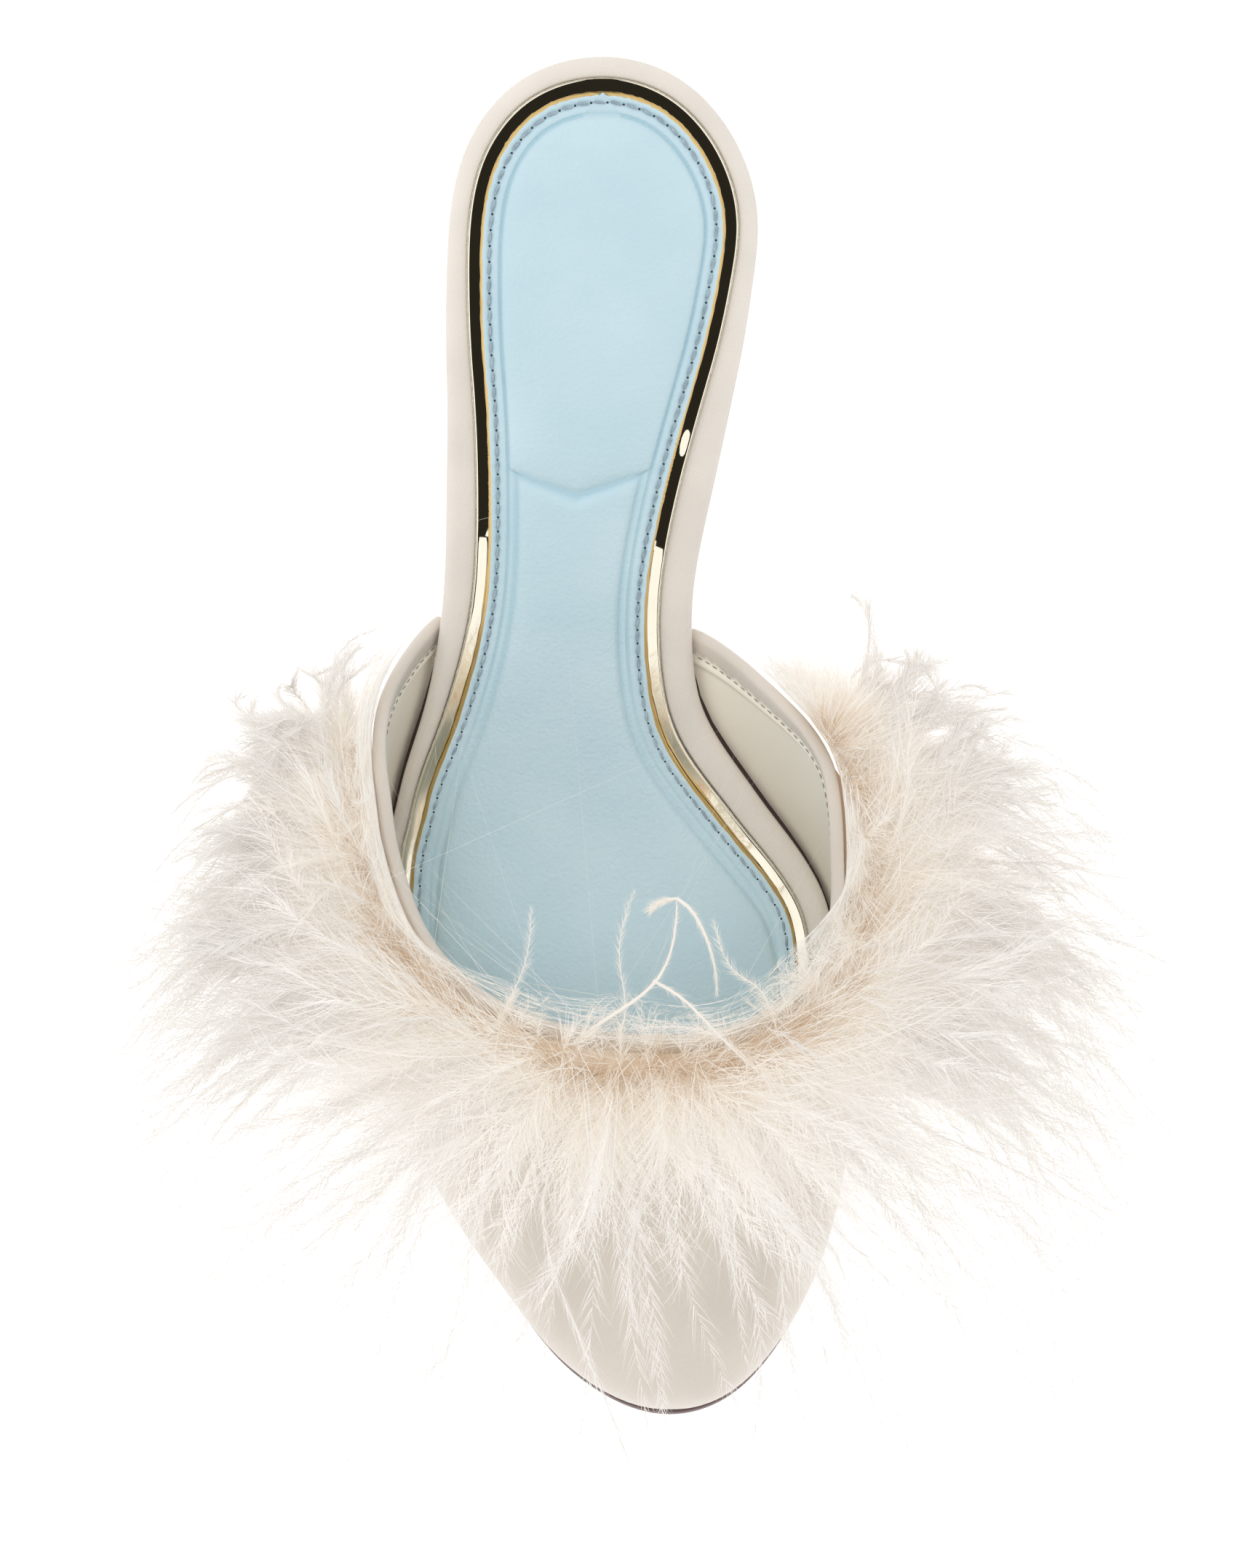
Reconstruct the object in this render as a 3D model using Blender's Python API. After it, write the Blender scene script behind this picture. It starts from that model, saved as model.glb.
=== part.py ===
"""A marabou slipper: a right-foot heeled mule with a feather band round its throat.

Units are metres, +Z is up. The toe points along -Y, the heel along +Y, and +X is the inner side
of the foot. The origin is on the floor, under the middle of the forefoot tread.

The shoe is laid out along its seat line, the curve that the top of the outsole follows. A place on
it is given by "along", the distance from the toe end of the footbed, by x, and by "rise", the
height square to the seat line.
"""

import math
import random

import bpy
import numpy as np

# Lengths and widths of the footbed
FOOTBED_LENGTH = 0.2323
BALL_WIDTH = 0.081
HEEL_WIDTH = 0.0528
TREAD_FROM_TOE = 0.0686

# The seat line
HEEL_RISE = 0.0605
TOE_SPRING = 0.0065

# Thicknesses
GAP = 0.0003
OUTSOLE_THICKNESS = 0.0025
FOOTBED_THICKNESS = 0.0058
RAND_THICKNESS = 0.0007
SOCK_EDGE_THICKNESS = 0.0011
SOCK_PAD_RISE = 0.0017
UPPER_WALL = 0.0016
TOPLINE_WALL = 0.0024
TOPLINE_BAND = 0.0042

# The footbed's edge
RECESS_HEIGHT = 0.0023
RECESS_DEPTH = 0.0042
UNDERCUT_DEPTH = 0.0012
EDGE_ROUND = 0.0019
SOCK_FROM_RAND_EDGE = 0.0022
PAD_FROM_SOCK_EDGE = 0.0034
PAD_SLOPE = 0.0032
CHEVRON_FROM_HEEL = 0.0640
CHEVRON_POINT = 0.0052
CHEVRON_WIDTH = 0.0030

# The upper
TOE_BOX_HEIGHT = 0.0145
THROAT_HEIGHT = 0.0435
INNER_ARCH_BELLY = 0.0255
OUTER_ARCH_BELLY = 0.0125
TOE_TUCK = 0.0022

# The outsole and the heel
OUTSOLE_MARGIN = 0.0006
OUTSOLE_BEVEL = 0.0005
SHANK_INSET = 0.0034
BREAST_FROM_HEEL = 0.0520
HEEL_INSET = 0.0018
TIP_WIDTH = 0.0125
TIP_LENGTH = 0.0130
TIP_FROM_HEEL = 0.0125
LIFT_HEIGHT = 0.0060

# The feather band
BAND_START = 0.175
BAND_END = 0.865
FLUFF_DEPTH = 0.0225
FLUFF_THICKNESS = 0.0165
FAN_CENTRE_X = 0.0050
FAN_CENTRE_FROM_THROAT = 0.0200
TUFT_LENGTH = 0.0090
LOCK_LENGTH = 0.0170
LONG_LOCK_LENGTH = 0.0265
FLOOR_CLEARANCE = 0.0040
SURFACE_STEP = 0.0025

# How many steps each form is built in
OUTLINE_STEPS = 46
FLUFF_STEPS = 52
SEAT_LINE_STEPS = 512
SEAT_LINE_MARGIN = 0.05
SEED = 7

LEFT, RIGHT = -1, 1

# Footbed outline: along as a share of the length, edges as shares of the local width
OUTLINE_COLUMNS = ("along", "outer_edge", "inner_edge")
OUTLINE = (
    (0.000, 0.147, 0.147),
    (0.013, 0.020, 0.265),
    (0.039, -0.078, 0.341),
    (0.086, -0.184, 0.422),
    (0.137, -0.286, 0.473),
    (0.193, -0.374, 0.501),
    (0.257, -0.444, 0.514),
    (0.321, -0.480, 0.510),
    (0.386, -0.486, 0.484),
    (0.429, -0.473, 0.416),
    (0.454, -0.459, 0.367),
    (0.480, -0.449, 0.320),
    (0.531, -0.425, 0.241),
    (0.574, -0.419, 0.227),
    (0.626, -0.432, 0.250),
    (0.686, -0.468, 0.323),
    (0.763, -0.501, 0.425),
    (0.840, -0.501, 0.487),
    (0.883, -0.490, 0.503),
    (0.926, -0.451, 0.461),
    (0.960, -0.370, 0.371),
    (0.984, -0.254, 0.252),
    (1.000, 0.005, 0.005),
)
WAIST_START, WAIST_END = 0.42, 0.78

# Steepness of the seat line, as a share of its steepest stretch
RAMP_COLUMNS = ("along", "steepness")
RAMP = (
    (0.360, 0.00),
    (0.440, 0.46),
    (0.530, 0.98),
    (0.660, 1.00),
    (0.800, 0.70),
    (0.920, 0.42),
    (1.000, 0.30),
)
SPRING_END = 0.21

# Width of the satin ring outside the gold rand: what the waist adds, as a share of its extra width
RING_COLUMNS = ("along", "outer_side", "inner_side")
RING_WIDTH = 0.0033
WAIST_RING_EXTRA = 0.0025
RING = (
    (0.00, 0.00, 0.00),
    (0.30, 0.00, 0.35),
    (0.42, -0.15, 0.70),
    (0.50, -0.20, 0.80),
    (0.56, 0.15, 0.90),
    (0.62, 0.65, 1.00),
    (0.70, 0.75, 1.05),
    (0.80, 0.30, 0.40),
    (0.89, 0.00, 0.00),
    (1.00, 0.00, 0.00),
)

# How far the foot of the upper stands out from the footbed's outline, as a share of TOE_TUCK
TUCK_COLUMNS = ("along", "outer_side", "inner_side")
TUCK = (
    (0.00, 1.00, 1.00),
    (0.20, 0.90, 0.90),
    (0.38, 0.75, 0.70),
    (0.50, 0.58, 0.38),
    (0.61, 0.18, 0.12),
)

# The upper's sections. Height is toe_height of the toe box and throat_height of what the throat
# adds, ridge is the crown's place across the ball width, and the bellies are shares of the arch's.
SECTION_COLUMNS = ("along", "toe_height", "throat_height", "ridge", "outer_belly", "inner_belly")
SECTIONS = (
    (0.000, 0.00, 0.00, 0.147, 0.03, 0.02),
    (0.004, 0.36, 0.00, 0.140, 0.05, 0.03),
    (0.013, 0.65, 0.00, 0.130, 0.07, 0.04),
    (0.034, 0.92, 0.01, 0.115, 0.10, 0.05),
    (0.064, 1.00, 0.12, 0.100, 0.14, 0.07),
    (0.107, 1.00, 0.29, 0.090, 0.18, 0.09),
    (0.150, 1.00, 0.47, 0.080, 0.21, 0.11),
    (0.214, 1.00, 0.76, 0.075, 0.24, 0.13),
    (0.272, 1.00, 1.00, 0.070, 0.26, 0.15),
    (0.343, 1.00, 1.19, 0.065, 0.28, 0.19),
    (0.407, 1.00, 1.38, 0.060, 0.33, 0.33),
    (0.472, 1.00, 1.57, 0.055, 0.55, 0.68),
    (0.531, 1.00, 1.69, 0.050, 0.82, 0.92),
    (0.625, 1.00, 1.84, 0.040, 1.10, 1.08),
)
SIDE_POWER = 0.85
TOP_POWER = 0.90
BELLY_POWER = 0.80

# The topline, from the outer wing round the throat to the inner wing. Turn counts quarter turns
# round the section, from the outer foot of the upper.
TOPLINE_COLUMNS = ("part", "along", "turn")
TOPLINE = (
    (0.00, 0.592, 0.000),
    (0.04, 0.573, 0.056),
    (0.09, 0.550, 0.128),
    (0.15, 0.519, 0.228),
    (0.21, 0.482, 0.311),
    (0.28, 0.433, 0.383),
    (0.35, 0.384, 0.467),
    (0.42, 0.332, 0.606),
    (0.46, 0.299, 0.767),
    (0.50, 0.279, 1.000),
    (0.54, 0.286, 1.233),
    (0.58, 0.311, 1.411),
    (0.65, 0.358, 1.578),
    (0.72, 0.416, 1.644),
    (0.79, 0.465, 1.700),
    (0.85, 0.504, 1.774),
    (0.91, 0.536, 1.864),
    (0.96, 0.563, 1.941),
    (1.00, 0.583, 2.000),
)
UPPER_COLUMNS = 38
UPPER_ROWS = 19

# Heel sections: how far down from the seat, and how far from the seat's size to the tip's
HEEL_COLUMNS = ("down", "slimness")
HEEL_SECTIONS = (
    (0.00, 0.00),
    (0.07, 0.20),
    (0.16, 0.46),
    (0.28, 0.68),
    (0.44, 0.84),
    (0.64, 0.94),
    (0.84, 0.99),
    (1.00, 1.00),
)
HEEL_STEPS = 9

# Cross-section of the feather body: down from the topline as a share of the fluff's depth, and
# off the upper as a share of its thickness
FLUFF_COLUMNS = ("down", "off")
FLUFF = (
    (0.12, 0.00),
    (0.40, 0.00),
    (0.68, 0.00),
    (0.93, 0.02),
    (1.13, 0.22),
    (1.10, 0.58),
    (0.84, 0.90),
    (0.46, 1.05),
    (0.10, 0.98),
    (-0.16, 0.66),
    (-0.12, 0.26),
)
FLUFF_UNDERSIDE = 4
WING_SHIFT = 0.0045

# A lock's gathers: distance out as a share of its length, and thickness as a share of its root
LOCK_RINGS = ((0.24, 0.40),)
LONG_LOCK_CHANCE = 0.34
LOCK_SCATTER = 0.30
LOCK_DROOP = 0.30
LOCK_FAN = 0.75
FRONT_LOCK_EXTRA = 0.75
FRONT_LOCK_FALL = 0.10


def column(table, columns, name):
    """One named column of a table, as an array."""
    return np.array([row[columns.index(name)] for row in table], float)


def curve_through(knots, values):
    """A natural cubic spline through a table's rows."""
    knots, values = np.asarray(knots, float), np.asarray(values, float)
    gaps = np.diff(knots)
    slopes = np.diff(values) / gaps
    count = len(knots)
    matrix, target = np.eye(count), np.zeros(count)
    for i in range(1, count - 1):
        matrix[i, i - 1 : i + 2] = gaps[i - 1], 2 * (gaps[i - 1] + gaps[i]), gaps[i]
        target[i] = 6 * (slopes[i] - slopes[i - 1])
    bends = np.linalg.solve(matrix, target)

    def at(place):
        i = int(np.clip(np.searchsorted(knots, place) - 1, 0, count - 2))
        before, after, gap = place - knots[i], knots[i + 1] - place, gaps[i]
        bent = (bends[i] * after**3 + bends[i + 1] * before**3) / (6 * gap)
        left = (values[i] / gap - bends[i] * gap / 6) * after
        right = (values[i + 1] / gap - bends[i + 1] * gap / 6) * before
        return float(bent + left + right)

    return at


def smooth_step(value):
    """0 below 0, 1 above 1, and smooth between."""
    value = min(1.0, max(0.0, value))
    return value * value * (3 - 2 * value)


def half_turn(share):
    """The angle, in half turns, whose cosine lays stations close together at toe and heel."""
    return math.acos(1 - 2 * min(1.0, max(0.0, share))) / math.pi


def share_at(turn):
    """The share of the length at a half-turn angle."""
    return (1 - math.cos(math.pi * turn)) / 2


class SeatLine:
    """The height and slope of the outsole's top along the shoe."""

    def __init__(self):
        margin = SEAT_LINE_MARGIN * FOOTBED_LENGTH
        self.along = np.linspace(-margin, FOOTBED_LENGTH + margin, SEAT_LINE_STEPS + 1)
        ramp = curve_through(column(RAMP, RAMP_COLUMNS, "along"), column(RAMP, RAMP_COLUMNS, "steepness"))
        first = RAMP[0][0]
        shares = self.along / FOOTBED_LENGTH
        steep = np.array([max(0.0, ramp(min(s, 1.0))) if s > first else 0.0 for s in shares])
        climb = np.concatenate([[0], np.cumsum((steep[1:] + steep[:-1]) / 2 * np.diff(self.along))])
        scale = HEEL_RISE / np.interp(FOOTBED_LENGTH, self.along, climb)
        spring = np.clip(1 - shares / SPRING_END, 0, None)
        self.height = OUTSOLE_THICKNESS + climb * scale + TOE_SPRING * spring**2
        self.slope = steep * scale - 2 * TOE_SPRING * spring / (SPRING_END * FOOTBED_LENGTH)

    def at(self, along):
        """(height, slope angle) at a distance from the footbed's toe end."""
        height = float(np.interp(along, self.along, self.height))
        return height, math.atan(float(np.interp(along, self.along, self.slope)))


SEAT = SeatLine()
TURNS = [half_turn(a) for a in column(OUTLINE, OUTLINE_COLUMNS, "along")]
EDGES = {
    LEFT: curve_through(TURNS, column(OUTLINE, OUTLINE_COLUMNS, "outer_edge")),
    RIGHT: curve_through(TURNS, column(OUTLINE, OUTLINE_COLUMNS, "inner_edge")),
}
RING_SHARE = {
    LEFT: curve_through(column(RING, RING_COLUMNS, "along"), column(RING, RING_COLUMNS, "outer_side")),
    RIGHT: curve_through(column(RING, RING_COLUMNS, "along"), column(RING, RING_COLUMNS, "inner_side")),
}
SECTION_TURNS = [half_turn(a) for a in column(SECTIONS, SECTION_COLUMNS, "along")]
SECTION = {
    name: curve_through(SECTION_TURNS, column(SECTIONS, SECTION_COLUMNS, name))
    for name in SECTION_COLUMNS[1:]
}
TUCK_SHARE = {
    LEFT: curve_through(column(TUCK, TUCK_COLUMNS, "along"), column(TUCK, TUCK_COLUMNS, "outer_side")),
    RIGHT: curve_through(column(TUCK, TUCK_COLUMNS, "along"), column(TUCK, TUCK_COLUMNS, "inner_side")),
}
TOPLINE_PARTS = column(TOPLINE, TOPLINE_COLUMNS, "part")
TOPLINE_ALONG = curve_through(TOPLINE_PARTS, column(TOPLINE, TOPLINE_COLUMNS, "along"))
TOPLINE_TURN = curve_through(TOPLINE_PARTS, column(TOPLINE, TOPLINE_COLUMNS, "turn"))


def place(x, along, rise):
    """World coordinates of a point given along the seat line."""
    height, slope = SEAT.at(along)
    y = along - TREAD_FROM_TOE - rise * math.sin(slope)
    return (x, y, height + rise * math.cos(slope))


def local_width(share):
    """The width that the outline's shares are taken of: the ball's, then the heel's."""
    blend = smooth_step((share - WAIST_START) / (WAIST_END - WAIST_START))
    return BALL_WIDTH + (HEEL_WIDTH - BALL_WIDTH) * blend


def outline(turn, side):
    """(x, along) on the footbed's outline."""
    share = share_at(turn)
    return np.array([EDGES[side](turn) * local_width(share), share * FOOTBED_LENGTH])


def edge(turn, side, out):
    """(x, along) at a distance out from the footbed's outline, square to it."""
    step = 1e-4
    low, high = max(0.0, turn - step), min(1.0, turn + step)
    across, forward = outline(high, side) - outline(low, side)
    normal = np.array([side * forward, -side * across])
    return outline(turn, side) + out * normal / np.linalg.norm(normal)


def ring_width(share, side):
    """How wide the satin ring is between the footbed's outline and the gold rand."""
    return RING_WIDTH + WAIST_RING_EXTRA * RING_SHARE[side](share)


def new_object(name, points, faces, material):
    """A smooth-shaded mesh object with one material."""
    mesh = bpy.data.meshes.new(name)
    mesh.from_pydata([tuple(p) for p in points], [], faces)
    mesh.update()
    mesh.shade_smooth()
    mesh.set_sharp_from_angle(angle=math.radians(38))
    mesh.materials.append(material)
    made = bpy.data.objects.new(name, mesh)
    bpy.context.scene.collection.objects.link(made)
    return made


def material_of(name, colour, roughness, metallic=0.0):
    """A plain Principled material."""
    made = bpy.data.materials.new(name)
    made.use_nodes = True
    shader = made.node_tree.nodes["Principled BSDF"]
    shader.inputs["Base Color"].default_value = (*colour, 1.0)
    shader.inputs["Roughness"].default_value = roughness
    shader.inputs["Metallic"].default_value = metallic
    made.diffuse_color = (*colour, 1.0)
    return made


def slab(name, turns, loops, material, cap=None):
    """A closed solid that follows the outline. Each loop gives (out, rise) for a share of the
    length and a side, from the middle of the underside round the edge to the top. Cap can give
    the top's own points across the shoe at one station, between the last loop's two sides."""
    last = len(turns) - 1
    whole = turns[-1] >= 1.0
    points, rows = [], []
    for loop in loops:
        row = {}
        for i, turn in enumerate(turns):
            for side in (LEFT, RIGHT):
                if side == RIGHT and (i == 0 or (i == last and whole)):
                    row[side, i] = row[LEFT, i]
                    continue
                out, rise = loop(share_at(turn), side)
                x, along = edge(turn, side, out)
                row[side, i] = len(points)
                points.append(place(x, along, rise))
        rows.append(row)
    order = [(LEFT, i) for i in range(last + 1)]
    order += [(RIGHT, i) for i in range(last - 1 if whole else last, 0, -1)]
    faces = []
    for low, high in zip(rows, rows[1:]):
        for a, b in zip(order, order[1:] + order[:1]):
            if not whole and {a, b} == {(LEFT, last), (RIGHT, last)}:
                continue
            faces.append([low[a], high[a], high[b], low[b]])
    if not whole:
        faces.append([row[LEFT, last] for row in rows] + [row[RIGHT, last] for row in reversed(rows)])
    for row, up in ((rows[0], False), (rows[-1], True)):
        if up and cap:
            faces += cap(points, row, turns)
            continue
        for i in range(last):
            face = [row[LEFT, i], row[RIGHT, i], row[RIGHT, i + 1], row[LEFT, i + 1]]
            face = list(dict.fromkeys(face))
            faces.append(face if up else face[::-1])
    return new_object(name, points, faces, material)


def outline_turns(first=0.0, last=1.0, steps=OUTLINE_STEPS):
    """Evenly spaced half-turn angles from one end to the other."""
    return [first + (last - first) * i / steps for i in range(steps + 1)]


def recess(share):
    """How deep the footbed's underside stands back: room for the upper's foot, then an undercut."""
    fade = smooth_step((share - 0.60) / 0.06)
    return RECESS_DEPTH + (UNDERCUT_DEPTH - RECESS_DEPTH) * fade


def build_footbed(material):
    """The satin-wrapped board, with a rounded edge and a stepped underside."""
    top = GAP + FOOTBED_THICKNESS
    mid = (RECESS_HEIGHT + top) / 2
    loops = [
        lambda share, side: (-recess(share), GAP),
        lambda share, side: (-recess(share), RECESS_HEIGHT),
        lambda share, side: (-0.6 * EDGE_ROUND, RECESS_HEIGHT),
        lambda share, side: (-0.1 * EDGE_ROUND, RECESS_HEIGHT + 0.35 * EDGE_ROUND),
        lambda share, side: (0.0, mid),
        lambda share, side: (-0.22 * EDGE_ROUND, top - 0.45 * EDGE_ROUND),
        lambda share, side: (-0.85 * EDGE_ROUND, top - 0.08 * EDGE_ROUND),
        lambda share, side: (-ring_width(share, side), top),
    ]
    return slab("footbed", outline_turns(), loops, material)


def build_rand(material):
    """The gold board between footbed and sock, whose rim shows all round."""
    low = 2 * GAP + FOOTBED_THICKNESS
    loops = [
        lambda share, side: (-ring_width(share, side), low),
        lambda share, side: (-ring_width(share, side), low + RAND_THICKNESS),
    ]
    return slab("gold_rand", outline_turns(), loops, material)


def pad_rise(share, x, half, along):
    """Height of the sock's padding, dipped along the chevron between heel pad and fore pad."""
    line = FOOTBED_LENGTH - CHEVRON_FROM_HEEL - CHEVRON_POINT * (1 - abs(x) / half)
    dip = math.exp(-(((along - line) / CHEVRON_WIDTH) ** 2))
    return SOCK_PAD_RISE * (1 - 0.62 * dip)


def build_sock(material):
    """The padded sock: a thin stitched border, a step up, and a domed pad with a chevron."""
    low = 3 * GAP + FOOTBED_THICKNESS + RAND_THICKNESS
    top = low + SOCK_EDGE_THICKNESS
    across = (-0.86, -0.6, -0.3, 0.0, 0.3, 0.6, 0.86)
    chevron = half_turn(1 - CHEVRON_FROM_HEEL / FOOTBED_LENGTH)
    turns = outline_turns(steps=32)
    turns = sorted([t for t in turns if abs(t - chevron) > 0.02] + [chevron + 0.0075 * i for i in range(-3, 3)])

    def border(share, side):
        return -ring_width(share, side) - SOCK_FROM_RAND_EDGE

    def pad_cap(points, row, stations):
        """Rows of points across the pad, joined into one domed sheet."""
        lines = []
        for i, turn in enumerate(stations):
            left, right = points[row[LEFT, i]], points[row[RIGHT, i]]
            if row[LEFT, i] == row[RIGHT, i]:
                lines.append([row[LEFT, i]])
                continue
            inset = border(share_at(turn), LEFT) - PAD_FROM_SOCK_EDGE - PAD_SLOPE
            ends = [edge(turn, LEFT, inset), edge(turn, RIGHT, inset)]
            middle, half = (ends[0] + ends[1]) / 2, (ends[1] - ends[0]) / 2
            line = [row[LEFT, i]]
            for part in across:
                x, along = middle + half * part
                rise = pad_rise(share_at(turn), half[0] * part, half[0], along)
                line.append(len(points))
                points.append(place(x, along, top + rise * (1 - 0.25 * abs(part) ** 3)))
            line.append(row[RIGHT, i])
            lines.append(line)
        faces = []
        for a, b in zip(lines, lines[1:]):
            for j in range(len(across) + 1):
                corners = [a[min(j, len(a) - 1)], a[min(j + 1, len(a) - 1)]]
                corners += [b[min(j + 1, len(b) - 1)], b[min(j, len(b) - 1)]]
                faces.append(list(dict.fromkeys(corners)))
        return faces

    loops = [
        lambda share, side: (border(share, side), low),
        lambda share, side: (border(share, side), top),
        lambda share, side: (border(share, side) - PAD_FROM_SOCK_EDGE, top),
    ]
    return slab("sock", turns, loops, material, pad_cap)


def upper_foot(share, side):
    """How far the foot of the upper stands out from the footbed's outline."""
    return TOE_TUCK * TUCK_SHARE[side](min(share, TUCK[-1][0]))


def build_outsole(material):
    """The thin outsole, as wide as the upper's foot in front and narrow under the shank."""
    end = half_turn(1 - (BREAST_FROM_HEEL + 2 * GAP) / FOOTBED_LENGTH)

    def out(share, side):
        wide = upper_foot(share, side) + OUTSOLE_MARGIN
        return wide - (wide + SHANK_INSET) * smooth_step((share - 0.50) / 0.14)

    loops = [
        lambda share, side: (out(share, side) - OUTSOLE_BEVEL, -OUTSOLE_THICKNESS),
        lambda share, side: (out(share, side), -OUTSOLE_THICKNESS + OUTSOLE_BEVEL),
        lambda share, side: (out(share, side), 0.0),
    ]
    return slab("outsole", outline_turns(last=end, steps=30), loops, material)


def belly(quarter):
    """Sideways bulge of a section, 1 where it is widest."""
    angle = math.atan(math.sqrt(BELLY_POWER))
    widest = math.sin(angle) ** BELLY_POWER * math.cos(angle)
    swing = quarter * math.pi / 2
    return max(0.0, math.sin(swing)) ** BELLY_POWER * abs(math.cos(swing)) / widest


def last_point(turn, quarter):
    """A point on the upper's outer surface, at a station and quarter turns round its section."""
    share = share_at(turn)
    side = LEFT if quarter < 1 else RIGHT
    foot = edge(turn, side, upper_foot(share, side))
    other = edge(turn, -side, upper_foot(share, -side))
    extra = THROAT_HEIGHT - TOE_BOX_HEIGHT
    height = TOE_BOX_HEIGHT * SECTION["toe_height"](turn) + extra * SECTION["throat_height"](turn)
    ridge = BALL_WIDTH * SECTION["ridge"](turn)
    swing = quarter * math.pi / 2
    reach = abs(math.cos(swing)) ** SIDE_POWER
    bulge = SECTION["outer_belly"](turn) * OUTER_ARCH_BELLY
    if side == RIGHT:
        bulge = SECTION["inner_belly"](turn) * INNER_ARCH_BELLY
    x = ridge + (foot[0] - ridge) * reach + side * bulge * belly(quarter)
    along = (foot[1] + other[1]) / 2 + (foot[1] - other[1]) / 2 * reach
    seat, _ = SEAT.at(along)
    rise = GAP + max(0.0, height) * max(0.0, math.sin(swing)) ** TOP_POWER
    return np.array([x, along - TREAD_FROM_TOE, seat + rise])


def upper_surface(turn, quarter, depth=0.0):
    """A point at a depth under the upper's outer surface, and the outward normal there."""
    step = 2e-3
    turn = max(turn, step)
    low, high = max(0.0, quarter - step), min(2.0, quarter + step)
    forward = last_point(turn + step, quarter) - last_point(turn - step, quarter)
    around = last_point(turn, high) - last_point(turn, low)
    normal = np.cross(around, forward)
    normal /= np.linalg.norm(normal)
    return last_point(turn, quarter) - depth * normal, normal


def topline(part):
    """(turn, quarter) on the topline."""
    return half_turn(TOPLINE_ALONG(part)), min(2.0, max(0.0, TOPLINE_TURN(part)))


def upper_grid():
    """For each column, from the toe to the topline, the stations and the share of topline wall."""
    grid = []
    for j in range(UPPER_COLUMNS + 1):
        end, quarter = topline(j / UPPER_COLUMNS)
        start = last_point(end, quarter)
        back = last_point(end - 0.01, quarter)
        band = 0.01 * TOPLINE_BAND / np.linalg.norm(start - back)
        stops = [(end - band) * i / (UPPER_ROWS - 2) for i in range(1, UPPER_ROWS - 1)]
        grid.append([(t, quarter, 0.0) for t in stops] + [(end - 0.85 * band, quarter, 1.0), (end, quarter, 1.0)])
    return grid


def build_upper(material):
    """The vamp: one hollow wall, open at throat and underneath, with a thicker topline band."""
    swell = (TOPLINE_WALL - UPPER_WALL) / 2
    outer, inner, rim = [], [], []
    for column_stops in upper_grid():
        outside, inside = [], []
        for turn, quarter, band in column_stops:
            point, normal = upper_surface(turn, quarter)
            outside.append(point + normal * swell * band)
            inside.append(point - normal * (UPPER_WALL + swell * band))
        outer.append(outside)
        inner.append(inside)
        edge_way = outside[-1] - outside[-2]
        edge_way /= np.linalg.norm(edge_way)
        rim.append((outside[-1] + inside[-1]) / 2 + edge_way * 0.35 * TOPLINE_WALL)
    tip_out = last_point(0.0, 0.0)
    tip_in = tip_out + np.array([0.0, UPPER_WALL, 0.0])
    points = [tip_out, tip_in]
    index = {}
    for name, columns in (("outer", outer), ("inner", inner)):
        for j, stops in enumerate(columns):
            for i, point in enumerate(stops):
                index[name, j, i] = len(points)
                points.append(point)
    for j, point in enumerate(rim):
        index["rim", j] = len(points)
        points.append(point)
    last = UPPER_ROWS - 1
    faces = []
    for j in range(UPPER_COLUMNS):
        k = j + 1
        faces.append([0, index["outer", k, 0], index["outer", j, 0]])
        faces.append([1, index["inner", j, 0], index["inner", k, 0]])
        for i in range(last):
            a, b = index["outer", j, i], index["outer", k, i]
            c, d = index["outer", k, i + 1], index["outer", j, i + 1]
            faces.append([a, b, c, d])
            a, b = index["inner", j, i], index["inner", k, i]
            c, d = index["inner", k, i + 1], index["inner", j, i + 1]
            faces.append([d, c, b, a])
        faces.append([index["outer", j, last], index["outer", k, last], index["rim", k], index["rim", j]])
        faces.append([index["rim", j], index["rim", k], index["inner", k, last], index["inner", j, last]])
    for j, flip in ((0, False), (UPPER_COLUMNS, True)):
        foot = [[0, index["outer", j, 0], index["inner", j, 0], 1]]
        for i in range(last):
            low, high = index["outer", j, i], index["outer", j, i + 1]
            foot.append([low, high, index["inner", j, i + 1], index["inner", j, i]])
        foot.append([index["outer", j, last], index["rim", j], index["inner", j, last]])
        faces += [face[::-1] for face in foot] if flip else foot
    return new_object("upper", points, faces, material)


def seat_ring(inset, rise):
    """Points round the heel seat, from the outer breast corner round the back to the inner one."""
    breast = half_turn(1 - BREAST_FROM_HEEL / FOOTBED_LENGTH)
    turns = outline_turns(breast, 1.0, HEEL_STEPS)
    left = [place(*edge(turn, LEFT, -inset), rise) for turn in turns]
    right = [place(*edge(turn, RIGHT, -inset), rise) for turn in turns[:-1]]
    return [np.array(p) for p in left + right[::-1]]


def tip_ring(height):
    """The heel tip's outline at a height, point for point like the seat's."""
    seat = seat_ring(HEEL_INSET, 0.0)
    back = max(p[1] for p in seat) - TIP_FROM_HEEL
    ring = []
    for i in range(len(seat)):
        swing = math.pi * (i / (len(seat) - 1)) - math.pi / 2
        across, backward = math.sin(swing), math.cos(swing)
        x = TIP_WIDTH / 2 * math.copysign(abs(across) ** 0.8, across)
        y = back - TIP_LENGTH + TIP_LENGTH * abs(backward) ** 0.62
        ring.append(np.array([x, y, height]))
    return ring


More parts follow.
